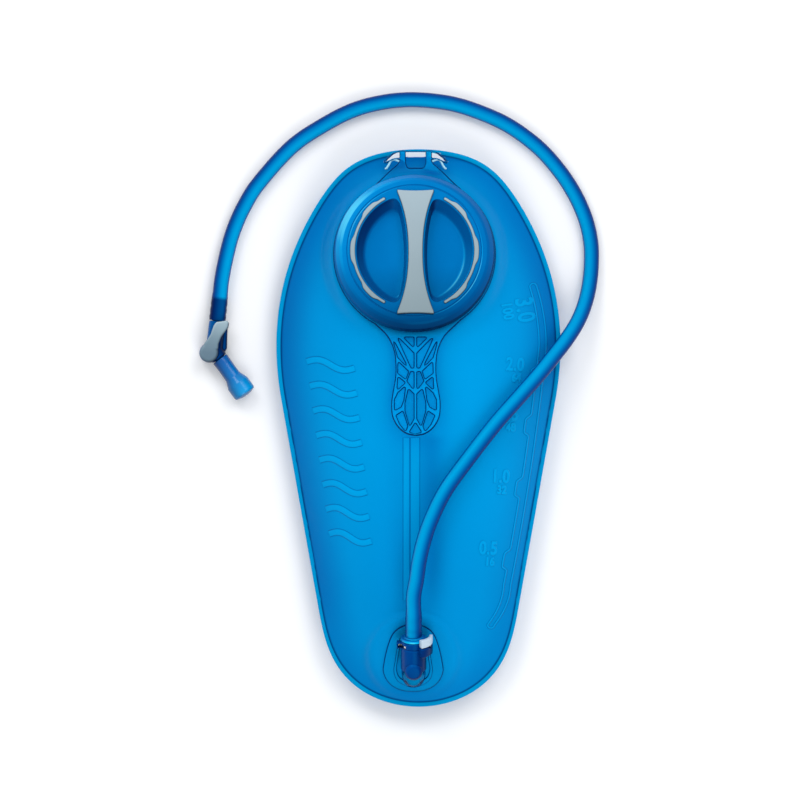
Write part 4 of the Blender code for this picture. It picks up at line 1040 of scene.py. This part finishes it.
# Rods along the hooks' clear edges, with a painted highlight as their colour
def hook_highlights():
    made = []
    for side in (1, -1):
        points = [Vector((*in_port(side * x, y, TAB_MIDDLE), 4)) * MM for x, y in HOOK_HIGHLIGHT_PATH]
        path = resample(smooth_through(points, 8), 40)

        def radius(at, whole):
            end = min(at, whole - at) / MM
            return (0.85 * sqrt(max(1 - (1 - min(end, 1)) ** 2, 0.02))) * MM

        made.append(to_mesh(loft(sweep(path, radius, 12)), f"hook_highlight_{side}"))
    return made


def yoke():
    ring = turned("yoke_ring", RING_PROFILE, 128, closed=True)
    mesh = combine("yoke", ring, handle_layers() + [tab_layer()], "UNION", 30)
    mesh = combine("yoke", mesh, [cylinder("yoke_bore", 49.6, 0, 9, 128)], "DIFFERENCE", 30)
    add_piece("yoke", mesh, LOOKS["clear"], "reservoir", ["carry_yoke"], PORT)
    # rods along the hooks' edges, painted light as a highlight
    for lip in hook_highlights():
        add_piece(lip.name, lip, LOOKS["lip"], "reservoir", where=PORT)


# Lid and neck, in the port's frame, in millimetres

BAR_HALF_LENGTH = 47.4
BAR_WAIST = 5.3
BAR_END = 13.6
BAR_OFFSET = (0.7, -1.2)
ARC_R = 45.6
ARC_HALF_WIDTH = 1.0
ARC_BUMP = 1.5
ARC_SPAN = radians(60)
ARC_BUMPS = ((-radians(43), radians(9)), (0, radians(12)), (radians(43), radians(9)))
GRIP_SEAT = 17.6
SEAT_GAP = 0.25
SEAT_CUT_TOP = 22  # higher than the lid
LID_OUTER = [
    (0, 18.5, 0), (49.6, 18.5, 0.5), (50.2, 17.7, 0.3), (51.0, 18.2, 0.5),
    (54.2, 17.7, 2.0), (56.2, 16.5, 1.0),
    (57.0, 15.7, 0.8), (59.2, 13.6, 2.0), (60.4, 9.2, 2.0), (60.0, 6.9, 0.4), (49.2, 6.5, 0.3),
    (49.2, 16.5, 0.4), (43.4, 16.5, 0.2), (42.9, 14.3, 0.8), (38.8, 4, 1.2), (0, 4, 0),
]
POCKET_LEVELS = [  # height, and how far the wall has come in
    (21, -0.08), (18.6, -0.08), (18.35, -0.05), (18.0, -0.01),
    (17.3, 0.02), (14, 0.25), (11, 0.48), (8.8, 0.65),
    (7.4, 0.77), (6.5, 0.89), (6.1, 0.99), (6.0, 1.12),
]
THREAD_LEAD = 16
THREAD_SPAN = radians(50)
THREAD_STARTS = 4


def bar_half_width(y):
    return BAR_WAIST + (BAR_END - BAR_WAIST) * min(abs(y) / (BAR_HALF_LENGTH - 1.5), 1) ** 2.3


def bar_outline(extra, dished=0.6):
    """The hourglass outline of the turning bar, its ends a little hollow."""
    steps = 28
    right = []
    for i in range(-steps, steps + 1):
        y = (BAR_HALF_LENGTH + extra) * i / steps
        right.append((bar_half_width(y) + extra, y))
    end = []
    for i in range(1, 12):
        x = 1 - 2 * i / 12
        end.append((x * right[-1][0], right[-1][1] - dished * (1 - x * x)))
    run = right + end + [(-x, y) for x, y in reversed(right)] + [(-x, -y) for x, y in end]
    return [((x + BAR_OFFSET[0]) * MM, (y + BAR_OFFSET[1]) * MM) for x, y in run]


def arc_outline(extra, side):
    """A curved grip with three swellings on its outer side."""
    steps = 72
    reach = ARC_SPAN + extra / ARC_R
    outer = []
    inner = []
    for i in range(steps + 1):
        angle = -reach + 2 * reach * i / steps
        bump = max(exp(-(((angle - at) / half) ** 6)) for at, half in ARC_BUMPS)
        outer_r = ARC_R + ARC_HALF_WIDTH + ARC_BUMP * bump + extra
        inner_r = ARC_R - ARC_HALF_WIDTH - extra
        outer.append((side * outer_r * cos(angle) * MM, outer_r * sin(angle) * MM))
        inner.append((side * inner_r * cos(angle) * MM, inner_r * sin(angle) * MM))
    cap = []
    for i in range(1, 6):
        turn = pi * i / 6
        radius = ARC_HALF_WIDTH + extra
        along = reach + radius * 0.8 * sin(turn) / ARC_R
        r = ARC_R + radius * cos(turn)
        cap.append((side * r * cos(along) * MM, r * sin(along) * MM))
    return outer + cap + inner[::-1] + [(x, -y) for x, y in reversed(cap)]


def pocket_outline(side, inward):
    """One half of the dish: a D between the bar's flank and the round wall, with rounded corners."""
    wall = 43.5 - 6.5 * inward
    border = 1.2 + 2.2 * inward

    def flank(y):
        return bar_half_width(y - BAR_OFFSET[1]) + border + side * BAR_OFFSET[0]

    corner = pi / 2
    while wall * cos(corner) < flank(wall * sin(corner)):
        corner -= 0.004
    arc = [(wall * cos(a), wall * sin(a)) for a in [-corner + 2 * corner * i / 60 for i in range(61)]]
    top = wall * sin(corner)
    back = [(flank(y), y) for y in [top - 2 * top * i / 60 for i in range(1, 60)]]
    run = resample(arc + back, 110, closed=True)
    for _ in range(14):
        run = [(run[i - 1] + run[i] * 2 + run[(i + 1) % len(run)]) / 4 for i in range(len(run))]
    return [(side * p.x * MM, p.y * MM) for p in run]


def pocket_cutter(side):
    sections = [[(x, y, z * MM) for x, y in pocket_outline(side, inward)] for z, inward in POCKET_LEVELS]
    return to_mesh(loft(sections), f"pocket_{side}")


def thread_lugs(inner, outer, height):
    """Four helical lugs of a right-hand thread, with tapered ends."""
    made = []
    steps = 20
    for start in range(THREAD_STARTS):
        sections = []
        for i in range(steps + 1):
            turn = (i / steps - 0.5) * THREAD_SPAN
            fade = min(min(i, steps - i) / 3, 1)
            crest = inner + (outer - inner) * (0.45 + 0.55 * fade)
            angle = 2 * pi * start / THREAD_STARTS + turn
            rise = height + THREAD_LEAD * turn / (2 * pi)
            section = ((inner, -0.9), (crest, -0.45), (crest, 0.45), (inner, 0.9))
            sections.append([(r * cos(angle) * MM, r * sin(angle) * MM, (rise + z) * MM) for r, z in section])
        made.append(to_mesh(loft(sections), f"lug_{start}"))
    return made


def lid():
    body = turned("lid_body", LID_OUTER, 144)
    cuts = [pocket_cutter(1), pocket_cutter(-1)]
    for outline in (bar_outline(SEAT_GAP), arc_outline(SEAT_GAP, 1), arc_outline(SEAT_GAP, -1)):
        cuts.append(plate("grip_seat", [outline], GRIP_SEAT, SEAT_CUT_TOP))
    mesh = combine("lid_body", body, cuts, "DIFFERENCE", 32)
    mesh = combine("lid_body", mesh, thread_lugs(49.6, 47.2, 8.5), "UNION", 32)
    add_piece("lid_body", mesh, LOOKS["lid"], "lid", ["lid_shell"], PORT)


def lid_grips():
    for name, outline, top, edge in (
        ("grip_bar", bar_outline(0), 20.6, 0.8),
        ("grip_arc_right", arc_outline(0, 1), 19.5, 0.55),
        ("grip_arc_left", arc_outline(0, -1), 19.5, 0.55),
    ):
        mesh = plate(name, [outline], GRIP_SEAT + 0.2, top, edge, 4, PORT)
        add_piece(name, mesh, LOOKS["grip"], "lid", [f"lid_{name}"])


def neck():
    profile = [
        (46.5, 14.5, 0.6), (46.5, 2, 0.8), (58, 2, 0.6), (58, 0.3, 0.2), (46.5, 0.3, 0.2), (46.5, -3, 0.5),
        (43.5, -3, 0.5), (43.5, 14.5, 0.6),
    ]
    body = turned("neck", profile, 128, closed=True)
    mesh = combine("neck", body, thread_lugs(46.2, 48.0, 10.5), "UNION", 32)
    add_piece("neck", mesh, LOOKS["clear"], "reservoir", ["fill_port_neck"], PORT)


# Exit port and quick link, in millimetres

EXIT_FLANGE = [
    (0, 27.5), (9, 25.3), (15.5, 19.5), (19.5, 9), (22.2, -4),
    (22.6, -12), (18.5, -20.5), (10.5, -26), (0, -27.7),
]
EXIT_LIP = [(0, 20.2), (8, 18.5), (11.5, 12), (13.8, -2), (14.6, -11), (11, -19), (0, -23.5)]
CUP_AT = (0.3, -10.5)
ELBOW_Y = -3.2
BARB_PITCH = 5.6
BUTTON_TRAVEL = 1.6
BUTTON_CLEAR_R = 10.05  # the barrel's room inside the cap when the button is in


def closed_smooth(right, per_span, scale=1.0):
    points = [(x * scale * MM, y * scale * MM) for x, y in right]
    left = [(-x, y) for x, y in reversed(points[1:-1])]
    return tuples(smooth_through(points + left, per_span, closed=True))


def exit_port():
    flange = plate("exit_flange", [closed_smooth(EXIT_FLANGE, 8)], 0.3, 2.3, 0.9, 3)
    lip = plate("exit_lip", [closed_smooth(EXIT_LIP, 8), closed_smooth(EXIT_LIP, 8, 0.84)], 1.8, 3.6, 0.6, 3)
    flange = combine("exit_port", flange, [lip], "UNION", 32)
    cup_at = Matrix.Translation((CUP_AT[0] * MM, CUP_AT[1] * MM, 0))
    outside = [(0, 20.5, 0), (4.5, 20.3, 3), (8.3, 15, 5), (9.0, 8, 1), (9.1, 2.4, 0.2), (0, 2.4, 0)]
    inside = [(0, 18.5, 0), (3.8, 18.3, 3), (7.3, 13.5, 4), (7.7, 8, 1), (7.7, -4, 0), (0, -4, 0)]
    cup = turned("exit_cup", outside, 64, cup_at)
    hollow = turned("cup_hollow", inside, 64, cup_at)
    link_at = EXIT.inverted() @ LINK @ Matrix.Translation((0, 0, 5.3 * MM))
    bore = cylinder("link_clearance", 9.95, -9.5, 44, 64, link_at)
    for name, mesh, look, replaced in (
        ("exit_port", flange, "exit", ["exit_port_base"]),
        ("exit_cup", cup, "cup", []),
    ):
        mesh = combine(name, mesh, [hollow.copy(), bore.copy()], "DIFFERENCE", 32)
        add_piece(name, mesh, LOOKS[look], "reservoir", replaced, EXIT)


def sector(inner_of, outer, start, end, steps=20):
    """A ring sector round the link's axis, its angles up from +X towards the camera side."""
    angles = [start + (end - start) * i / steps for i in range(steps + 1)]
    run = [(outer * cos(a) * MM, -outer * sin(a) * MM) for a in angles]
    return run + [(inner_of(a) * cos(a) * MM, -inner_of(a) * sin(a) * MM) for a in reversed(angles)]


def block(name, low, high, edge=0.0):
    """A box in millimetres with bevelled edges."""
    bm = bmesh.new()
    size = (Vector(high) - Vector(low)) * MM
    centre = (Vector(high) + Vector(low)) / 2 * MM
    bmesh.ops.create_cube(bm, size=1, matrix=Matrix.Translation(centre) @ Matrix.Diagonal((*size, 1)))
    if edge:
        bmesh.ops.bevel(bm, geom=bm.edges[:], offset=edge * MM, segments=3, profile=0.6, affect="EDGES")
    return to_mesh(bm, name)


def link_socket():
    profile = [
        (9.1, 18.9, 0.4), (9.7, 18.2, 0.5), (9.7, 14.3, 0.3), (9.3, 13.8, 0.2), (9.3, 13.3, 0.2),
        (9.65, 12.8, 0.3), (9.6, -4.3, 0.9), (7.2, -4.3, 0.2), (7.2, -6.0, 0.1), (6.2, -6.0, 0.1),
        (6.2, -7.6, 0.1), (7.2, -7.6, 0.1),
        (7.2, -9, 0.4), (5.4, -9, 0.2), (5.4, 0.7, 0.1), (3.4, 0.7, 0.1), (3.4, 1.9, 0.1), (6.2, 1.9, 0.1),
        (6.25, 18.9, 0.3),
    ]
    barrel = turned("link_barrel", profile, 72, closed=True, corner_steps=4)
    bump = sector(lambda a: 8.5, 14.4, -radians(25), radians(66))
    parts = [plate("button_housing", [bump], 9, 16.2, 1.1, 4)]
    parts.append(block("spring_housing", (-12.8, -3, 13.2), (-7.2, 3, 17.8), 0.7))
    cuts = [block("latch_slot", (-9.1, -7.7, 14.4), (13.3, 7.7, 16.6))]
    cuts.append(block("arm_room", (9, -3.4, 15), (13.3, 3.4, 19)))
    cuts.append(block("spring_pocket", (-12, -5, 13.8), (-7.3, 1.8, 17.2)))
    mesh = combine("link_socket", barrel, parts, "UNION", 32)
    mesh = combine("link_socket", mesh, cuts, "DIFFERENCE", 32)
    elbow = [(0, 24.4, 0), (4.6, 24.2, 2), (6.5, 22.5, 1.5), (6.8, 12, 1), (6.8, 2.5, 0.5), (0, 2.5, 0)]
    at = LINK.inverted() @ EXIT @ Matrix.Translation((CUP_AT[0] * MM, ELBOW_Y * MM, 0))
    mesh = combine("link_socket", mesh, [turned("elbow", elbow, 56, at)], "UNION", 32)
    chamber = [(0, 19.5), (6.25, 19.5), (6.2, 1.9), (3.4, 1.9), (3.4, 0.7), (5.4, 0.7), (5.4, -12), (0, -12)]
    chamber = lathe([(r * MM, h * MM) for r, h in chamber], 72, closed=False)
    mesh = combine("link_socket", mesh, [to_mesh(chamber, "chamber")], "DIFFERENCE", 32)
    add_piece("link_socket", mesh, LOOKS["socket"], "reservoir", ["quick_link_socket"], LINK)


def release_button():
    def inner(angle):
        return BUTTON_CLEAR_R + BUTTON_TRAVEL * max(cos(angle), 0)

    outline = sector(inner, 14.3, -radians(4), radians(66))
    cap = plate("button_cap", [outline], 16.8, 23.4, 1.1, 4)
    arm = block("button_arm", (11.7, -3, 14.8), (13, 3, 18), 0.2)
    mesh = combine("button", cap, [arm], "UNION", 35)
    add_piece("button", mesh, LOOKS["button"], "button", ["release_button"], LINK)


def barbs(start, tip):
    """A hose barb's outer profile with three ridges, from its tip down to its root."""
    profile = [(3.4, tip, 0.3)]
    for i in (2, 1, 0):
        foot = start + 1.4 + i * BARB_PITCH
        profile += [(3.9, foot + BARB_PITCH * 0.7, 0.3), (4.9, foot + 0.3, 0.2), (3.9, foot, 0.1)]
    return profile


def hose_plug():
    profile = barbs(21.6, 40.4)
    profile += [
        (3.9, 22.6, 0.1), (6.6, 22.5, 0.4), (7.3, 22.1, 0.4), (7.5, 21.5, 0.3),
        (9.1, 21.5, 0.5), (9.8, 20.8, 0.5),
        (9.8, 19.6, 0.4), (9.3, 19.2, 0.3), (5.8, 19.2, 0.2), (5.8, 17, 0.2), (4.9, 17, 0.1), (4.9, 14, 0.1),
        (5.8, 14, 0.2), (5.8, 7.9, 0.1), (4.6, 7.9, 0.1), (4.6, 5.7, 0.1), (5.8, 5.7, 0.1), (5.8, 4.2, 0.2),
        (5, 3.2, 0.2), (2.5, 3.2, 0.2), (2.5, 40.4, 0.2),
    ]
    mesh = turned("plug_collar", profile, 64, LINK, closed=True, corner_steps=4)
    add_piece("plug_collar", mesh, LOOKS["collar"], "hose", ["hose_plug"])


# Shut-off valve and mouthpiece, in millimetres from the hub


def beside_lever(a, b, z=0):
    """A point from how far it is along the lever and to the right of it."""
    side = Vector((LEVER_DIRECTION.y, -LEVER_DIRECTION.x, 0))
    return (LEVER_DIRECTION * a + side * b + Vector((0, 0, z))) * MM


def valve_housing():
    at_inlet = HUB.inverted() @ INLET
    at_outlet = HUB.inverted() @ OUTLET
    hub = [(0, 7.4, 0), (6.9, 7.4, 1.0), (7.4, 4, 1.5), (7.4, -8.4, 2.2), (0, -8.4, 0)]
    sleeve = [(0, 24, 0), (6.05, 24, 0.6), (6.15, 12, 2), (6.4, -4, 3), (4, -6.4, 3), (0, -6.4, 0)]
    stub = [(0, 8, 0), (6.1, 8, 0.8), (6.5, 3, 2), (6.5, -4, 3), (4, -6.4, 3), (0, -6.4, 0)]
    flank = [(4, 20.5, 1), (13.9, 20.5, 2), (13.6, 12, 6), (13.4, 3.5, 3), (11.5, 0, 2), (5, 1, 2)]
    meshes = [
        turned("valve_hub", hub, 64),
        turned("inlet_sleeve", sleeve, 56, at_inlet),
        turned("outlet_stub", stub, 56, at_outlet),
        plate("flank", [tuples(rounded(flank, steps=6))], -7.4, 1, 1.6, 4),
    ]
    skin = melt("valve_housing", meshes, 0.32 * MM, 8)
    stem = [(0, 42.3, 0)] + barbs(24, 42.3) + [(3.9, 22, 0), (0, 22, 0)]
    spigot = [(0, 18, 0), (4, 18, 0.5), (4, 6, 0), (0, 6, 0)]
    tails = [turned("inlet_stem", stem, 48, at_inlet), turned("outlet_spigot", spigot, 48, at_outlet)]
    mesh = combine("valve_housing", skin, tails, "UNION", 40)
    cuts = [
        cylinder("drum_pocket", 5.4, 9, -6.2, 40),
        cylinder("inlet_bore", 2.5, 44, 0, 40, at_inlet),
        cylinder("outlet_bore", 2.5, 20, 0, 40, at_outlet),
    ]
    mesh = combine("valve_housing", mesh, cuts, "DIFFERENCE", 40)
    add_piece("valve_housing", mesh, LOOKS["valve"], "hose", ["valve_body"], HUB)


LEVER_OUTLINE = [
    (0, -4.5, 0), (6.5, -4.8, 2), (9.5, -3.0, 3), (14, -1.2, 6), (21, -0.1, 3), (24, 1.5, 2), (25, 5, 3),
    (26.2, 8.4, 1.5), (25.4, 10.8, 1.5), (21.6, 10.9, 1.5), (18.4, 9.6, 2),
    (13.8, 7.2, 5), (7.6, 6, 3), (4, 6.5, 0),
]
LEVER_PADDLE = [(19.8, 8.6), (25.7, 8.6), (25.2, 10.8), (20.4, 10.9)]


def lever():
    disc = [(0, 10.7, 0), (5.6, 10.6, 2), (6.95, 9.6, 0.9), (6.95, 8.3, 0.5), (6.5, 7.75, 0.3), (0, 7.75, 0)]
    arm = rounded([(*(beside_lever(a, b).xy / MM), r) for a, b, r in LEVER_OUTLINE], steps=6)
    paddle = rounded([(*(beside_lever(a, b).xy / MM), 0.9) for a, b in LEVER_PADDLE])
    meshes = [
        turned("lever_disc", disc, 64),
        plate("lever_arm", [tuples(arm)], 8.0, 10.6, 1.0, 3),
        plate("lever_paddle", [tuples(paddle)], 0.2, 10, 0.8, 3),
    ]
    mesh = melt("lever", meshes, 0.28 * MM, 14)
    add_piece("lever", mesh, LOOKS["lever"], "shutoff", ["shutoff_lever"], HUB)


def mouthpiece():
    profile = [
        (0, 42.6, 0), (4.5, 42.2, 3), (8.2, 40.9, 1.2), (8.8, 39.6, 0.8), (8.8, 31.4, 0.8), (6.3, 25.2, 1.2),
        (6.15, 22, 2), (6.15, 14, 2), (6.4, 9, 0.5), (5.9, 8.4, 0.3), (4.25, 8.4, 0.2), (4.25, 20.5, 0.4),
        (7.2, 31, 1.5), (7.2, 37.5, 1.5), (4, 39.6, 1), (0, 39.8, 0),
    ]
    slit = block("slit", (-4.6, -0.25, 36), (4.6, 0.25, 44))
    mesh = combine("bite_valve_skin", turned("bite_valve", profile, 80), [slit], "DIFFERENCE", 40)
    add_piece("bite_valve_skin", mesh, LOOKS["bite"], "mouthpiece", ["bite_valve"], OUTLET)


# Relief moulded into the front film, in world millimetres

# Painted shade for the foot of the moulded relief and a painted highlight for its crest
RELIEF_FOOT_SHADE = linear(0, 70, 140)
RELIEF_CREST_HIGHLIGHT = linear(0, 180, 244)


def film_point(x, y, rise=0.0):
    """A point over the front film, from x, y and its rise in millimetres."""
    return Vector((x * MM, y * MM, front_height(x * MM, y * MM) + rise * MM))


def raised_band(path, half_width, rise):
    """A flat raised band along a path of (x, y) points, with sloping flanks."""
    sections = []
    for i, p in enumerate(path):
        along = (path[min(i + 1, len(path) - 1)] - path[max(i - 1, 0)]).normalized()
        across = Vector((-along.y, along.x))
        slope = min(0.5, half_width * 0.4)
        profile = ((half_width + 0.7, -0.2), (half_width + 0.25, 0.13), (half_width - slope, rise), (0, rise))
        run = list(profile) + [(-w, h) for w, h in reversed(profile[:-1])]
        sections.append([film_point(*(p + across * w), h) for w, h in run])
    return loft(sections)


def relief_with_painted_light(bm, name):
    """A relief mesh in the film's colours, with painted shade at its foot and a painted highlight on its
    crest.
    """
    colours = bm.verts.layers.float_color.new("tint")
    for vertex in bm.verts:
        x, y, z = vertex.co
        share = smoothstep((z - front_height(x, y) - 0.2 * MM) / (0.2 * MM))
        colour = mixed(RELIEF_FOOT_SHADE, film_colour_with_painted_light(x, y), 0.3 + 0.7 * share)
        vertex[colours] = (*mixed(colour, RELIEF_CREST_HIGHLIGHT, 0.35 * share), 1)
    return to_mesh(bm, name)


def level_strip_edge(y):
    """The right edge of the level strip, in world millimetres."""
    if y > 62:
        return 96.2 - 0.0036 * (y - 62) ** 2
    if y > -118:
        return 96.2 - 0.1 * (62 - y) - 0.00027 * (62 - y) ** 2
    return 69.4 - 0.0128 * (-118 - y) ** 2 - 0.02 * (-118 - y)


LEVEL_MARKS = ((46, "2.0", "64"), (9, "1.5", "48"), (-38, "1.0", "32"), (-92, "0.5", "16"))


def level_strip():
    """The sight strip: a raised line round it, stepping out at each mark."""
    top = 106.5
    bottom = -148
    width = 5.4
    right = [(level_strip_edge(y), y) for y in [top - (top - bottom) * i / 60 for i in range(61)]]
    left = []
    for i in range(241):
        y = bottom + (top - bottom) * i / 240
        step = 0
        for mark, _, _ in LEVEL_MARKS:
            step = max(step, smoothstep((mark + 1.5 - y) / 4) * smoothstep((y - mark + 15) / 3))
        left.append((level_strip_edge(y) - width - 3.9 * step, y))
    half = width / 2
    head = level_strip_edge(top) - half
    foot = level_strip_edge(bottom) - half
    cap_top = [(head + half * cos(a), top + 2.6 * sin(a)) for a in (0.8, 1.57, 2.34)]
    cap_low = [(foot - half * cos(a), bottom - 2.6 * sin(a)) for a in (0.8, 1.57, 2.34)]
    run = right + cap_low[::-1] + left + cap_top[::-1]
    path = [Vector(p) for p in run]
    path = resample(path + [path[0]], 420)
    return raised_band(path, 0.55, 0.4)


def numeral(text, x, y, height, turn):
    """Raised figures laid on the film."""
    curve = bpy.data.curves.new("figures", "FONT")
    curve.body = text
    curve.size = height * 1.42 * MM
    curve.offset = 0.25 * MM
    curve.extrude = 0.1 * MM
    curve.bevel_depth = 0.4 * MM
    curve.align_x = "CENTER"
    curve.align_y = "CENTER"
    curve.space_character = 1.05
    curve.resolution_u = 4
    bm = gathered([baked(new_object("figures", curve), "figures")])
    narrow = Matrix.Diagonal((0.8, 1, 1, 1))
    bmesh.ops.transform(bm, matrix=Matrix.Rotation(turn, 4, "Z") @ narrow, verts=bm.verts)
    bmesh.ops.translate(bm, vec=(x * MM, y * MM, 0), verts=bm.verts)
    for vertex in bm.verts:
        vertex.co.z += front_height(vertex.co.x, vertex.co.y)
    return bm


def join(bms, name):
    return relief_with_painted_light(gathered([emptied(bm, "part") for bm in bms]), name)


def ripple(index):
    """One wave-shaped rib of the relief that stiffens the bag's left side."""
    y = 50 - 18.5 * index
    start = -84 + 2.4 * index
    reach = 36 - 0.6 * index
    path = []
    for i in range(41):
        share = i / 40
        path.append(Vector((start + reach * share, y + 2.6 * sin(2 * pi * share) - 5 * share)))
    return raised_band(path, 2.3, 0.55)


def relief():
    upright = -radians(80)
    marks = [level_strip(), numeral("3.0", 79.5, 89, 13, upright), numeral("100", 66.5, 88, 7.5, upright)]
    for y, litres, ounces in LEVEL_MARKS:
        x = level_strip_edge(y) - 22
        marks.append(numeral(litres, x, y + 1.5, 9.6, radians(-3)))
        marks.append(numeral(ounces, x + 1, y - 8.5, 6, radians(-3)))
    add_piece("level_marks", join(marks, "level_marks"), LOOKS["film"], "reservoir")
    ribs = join([ripple(i) for i in range(8)], "side_ripples")
    add_piece("side_ripples", ribs, LOOKS["film"], "reservoir")
    bands = []
    for low, high in ((-11.5, -6.75), (-6.1, 0.75)):
        path = [Vector(((low + high) / 2, -7 - 122 * i / 60)) for i in range(61)]
        bands.append(raised_band(path, (high - low) / 2, 0.45))
    add_piece("baffle_weld", join(bands, "baffle_weld"), LOOKS["film"], "reservoir")


def button_coil():
    """The spring behind the latch plate."""
    start = -11.7
    length = 4.1
    turns = 4
    steps = 96
    path = []
    for i in range(steps + 1):
        angle = 2 * pi * turns * i / steps
        at = (start + length * i / steps, 1.15 * cos(angle), 15.5 + 1.15 * sin(angle))
        path.append(LINK @ (Vector(at) * MM))
    coil = to_mesh(loft(sweep(path, lambda at, whole: 0.25 * MM, 10)), "button_coil")
    piece = add_piece("button_coil", coil, LOOKS["steel"], "reservoir", ["button_spring"])
    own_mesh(piece)


def inner_pieces():
    """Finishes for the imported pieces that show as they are."""
    for looks, names in (
        ("film", ("baffle_strip",)),
        ("seal", ("lid_gasket", "spigot_o_ring", "plug_o_ring", "poppet_seal")),
        ("seal", ("drum_o_ring_upper", "drum_o_ring_lower")),
        ("steel", ("latch_plate", "poppet_spring")),
        ("valve", ("check_valve_poppet", "shutoff_drum")),
    ):
        for name in names:
            node = frame["nodes"][name]
            for slot in node.material_slots:
                slot.material = LOOKS[looks]


def floor_and_light():
    size = 6
    bm = bmesh.new()
    bmesh.ops.create_grid(bm, x_segments=1, y_segments=1, size=size)
    floor = add_piece("floor", to_mesh(bm, "floor"), new_look("floor_look", (0.93, 0.93, 0.93), 0.9))
    floor.location.z = -0.2 * MM
    for name, at, energy, width in (
        ("key", (-0.75, 1.35, 1.7), 12, 0.9),
        ("bank", (0.9, 1.6, 2.4), 26, 1.6),
        ("fill", (0.6, -2.2, 2.4), 30, 1.8),
    ):
        data = bpy.data.lights.new(name, "AREA")
        data.energy = energy
        data.size = width
        light = new_object(name, data)
        light.location = at
        light.rotation_euler = (-Vector(at)).to_track_quat("-Z", "Y").to_euler()
    world = bpy.data.worlds.new("studio")
    world.use_nodes = True
    background = world.node_tree.nodes["Background"]
    background.inputs["Color"].default_value = (0.93, 0.96, 1, 1)
    background.inputs["Strength"].default_value = 0.68
    bpy.context.scene.world = world
    bpy.context.scene.view_settings.view_transform = "Standard"


SLEEVE_TINT = (0.0, 0.2, 0.36)
SLEEVE_SWELL = 0.35 * MM
FIRST_RIDGE = 2.4 * MM  # how far the first barb shows from the tube's end
RIDGE_RISE = 0.32 * MM
RIDGE_WIDTH = 1.1 * MM
# Painted light across the tube: painted shade at both edges and a painted highlight band towards the inside
# of its loop
TUBE_PAINTED_LIGHT = [  # how far towards the inside of the tube's loop, and the colour there
    (-1.0, linear(0, 40, 108)), (-0.75, linear(0, 54, 126)), (-0.35, linear(0, 96, 166)),
    (0.1, linear(0, 140, 198)), (0.5, linear(0, 156, 211)), (0.78, linear(0, 146, 204)),
    (0.92, linear(0, 76, 150)), (1.0, linear(0, 50, 122)),
]


def painted_light_across(inward):
    """The tube's colour with painted light, from the outer side of its loop (-1) to the inner side (1):
    painted shade at both edges and a painted highlight band between.
    """
    for (low, first), (high, second) in zip(TUBE_PAINTED_LIGHT, TUBE_PAINTED_LIGHT[1:]):
        if inward <= high:
            return mixed(first, second, min(max((inward - low) / (high - low), 0), 1))
    return TUBE_PAINTED_LIGHT[-1][1]


def drink_tube():
    route = tube_route()
    ridges = [FIRST_RIDGE + i * BARB_PITCH * MM for i in range(3)]

    def outer(at, whole):
        radius = TUBE_R
        for end in (at, whole - at):
            radius += SLEEVE_SWELL * smoothstep((SLEEVE + 4 * MM - end) / (5 * MM))
            radius += sum(RIDGE_RISE * exp(-(((end - ridge) / RIDGE_WIDTH) ** 2)) for ridge in ridges)
        return radius

    sides = 28
    shell = sweep(route, outer, sides)
    bore = sweep(route, lambda at, whole: TUBE_BORE_R, sides)
    bm = loft(shell + bore[::-1] + shell[:1], caps=False)
    bmesh.ops.remove_doubles(bm, verts=bm.verts, dist=0.000001)
    colours = bm.verts.layers.float_color.new("tint")
    middles = [(b - a, a) for a, b in zip(route, route[1:])]
    for vertex in bm.verts:
        along, middle = min(middles, key=lambda step: (vertex.co - step[1]).length_squared)
        left = Vector((-along.y, along.x, 0)).normalized()
        inward = (vertex.co - middle).dot(left) / TUBE_R
        at_plug = SLEEVE - (vertex.co - route[0]).length
        at_valve = SLEEVE - (vertex.co - route[-1]).length
        line = max(exp(-(((at_plug + ridge - SLEEVE) / (0.8 * MM)) ** 2)) for ridge in ridges + [SLEEVE])
        share = smoothstep(at_plug / MM) * 0.05 + 0.16 * line
        colour = mixed((1, 1, 1), SLEEVE_TINT, share)
        colour = mixed(colour, SLEEVE_TINT, smoothstep(at_valve / MM))
        # the painted highlight band and painted shade across the tube
        across = painted_light_across(inward)
        vertex[colours] = (*(a * b for a, b in zip(colour, across)), 1)
    mesh = to_mesh(bm, "drink_tube")
    tube = add_piece("drink_tube", mesh, LOOKS["tube"], "hose", ["delivery_tube"])


def main():
    add_camera()
    make_looks()
    floor_and_light()
    films()
    relief()
    yoke()
    neck()
    lid()
    lid_grips()
    exit_port()
    link_socket()
    release_button()
    hose_plug()
    valve_housing()
    lever()
    mouthpiece()
    button_coil()
    inner_pieces()
    drink_tube()


main()
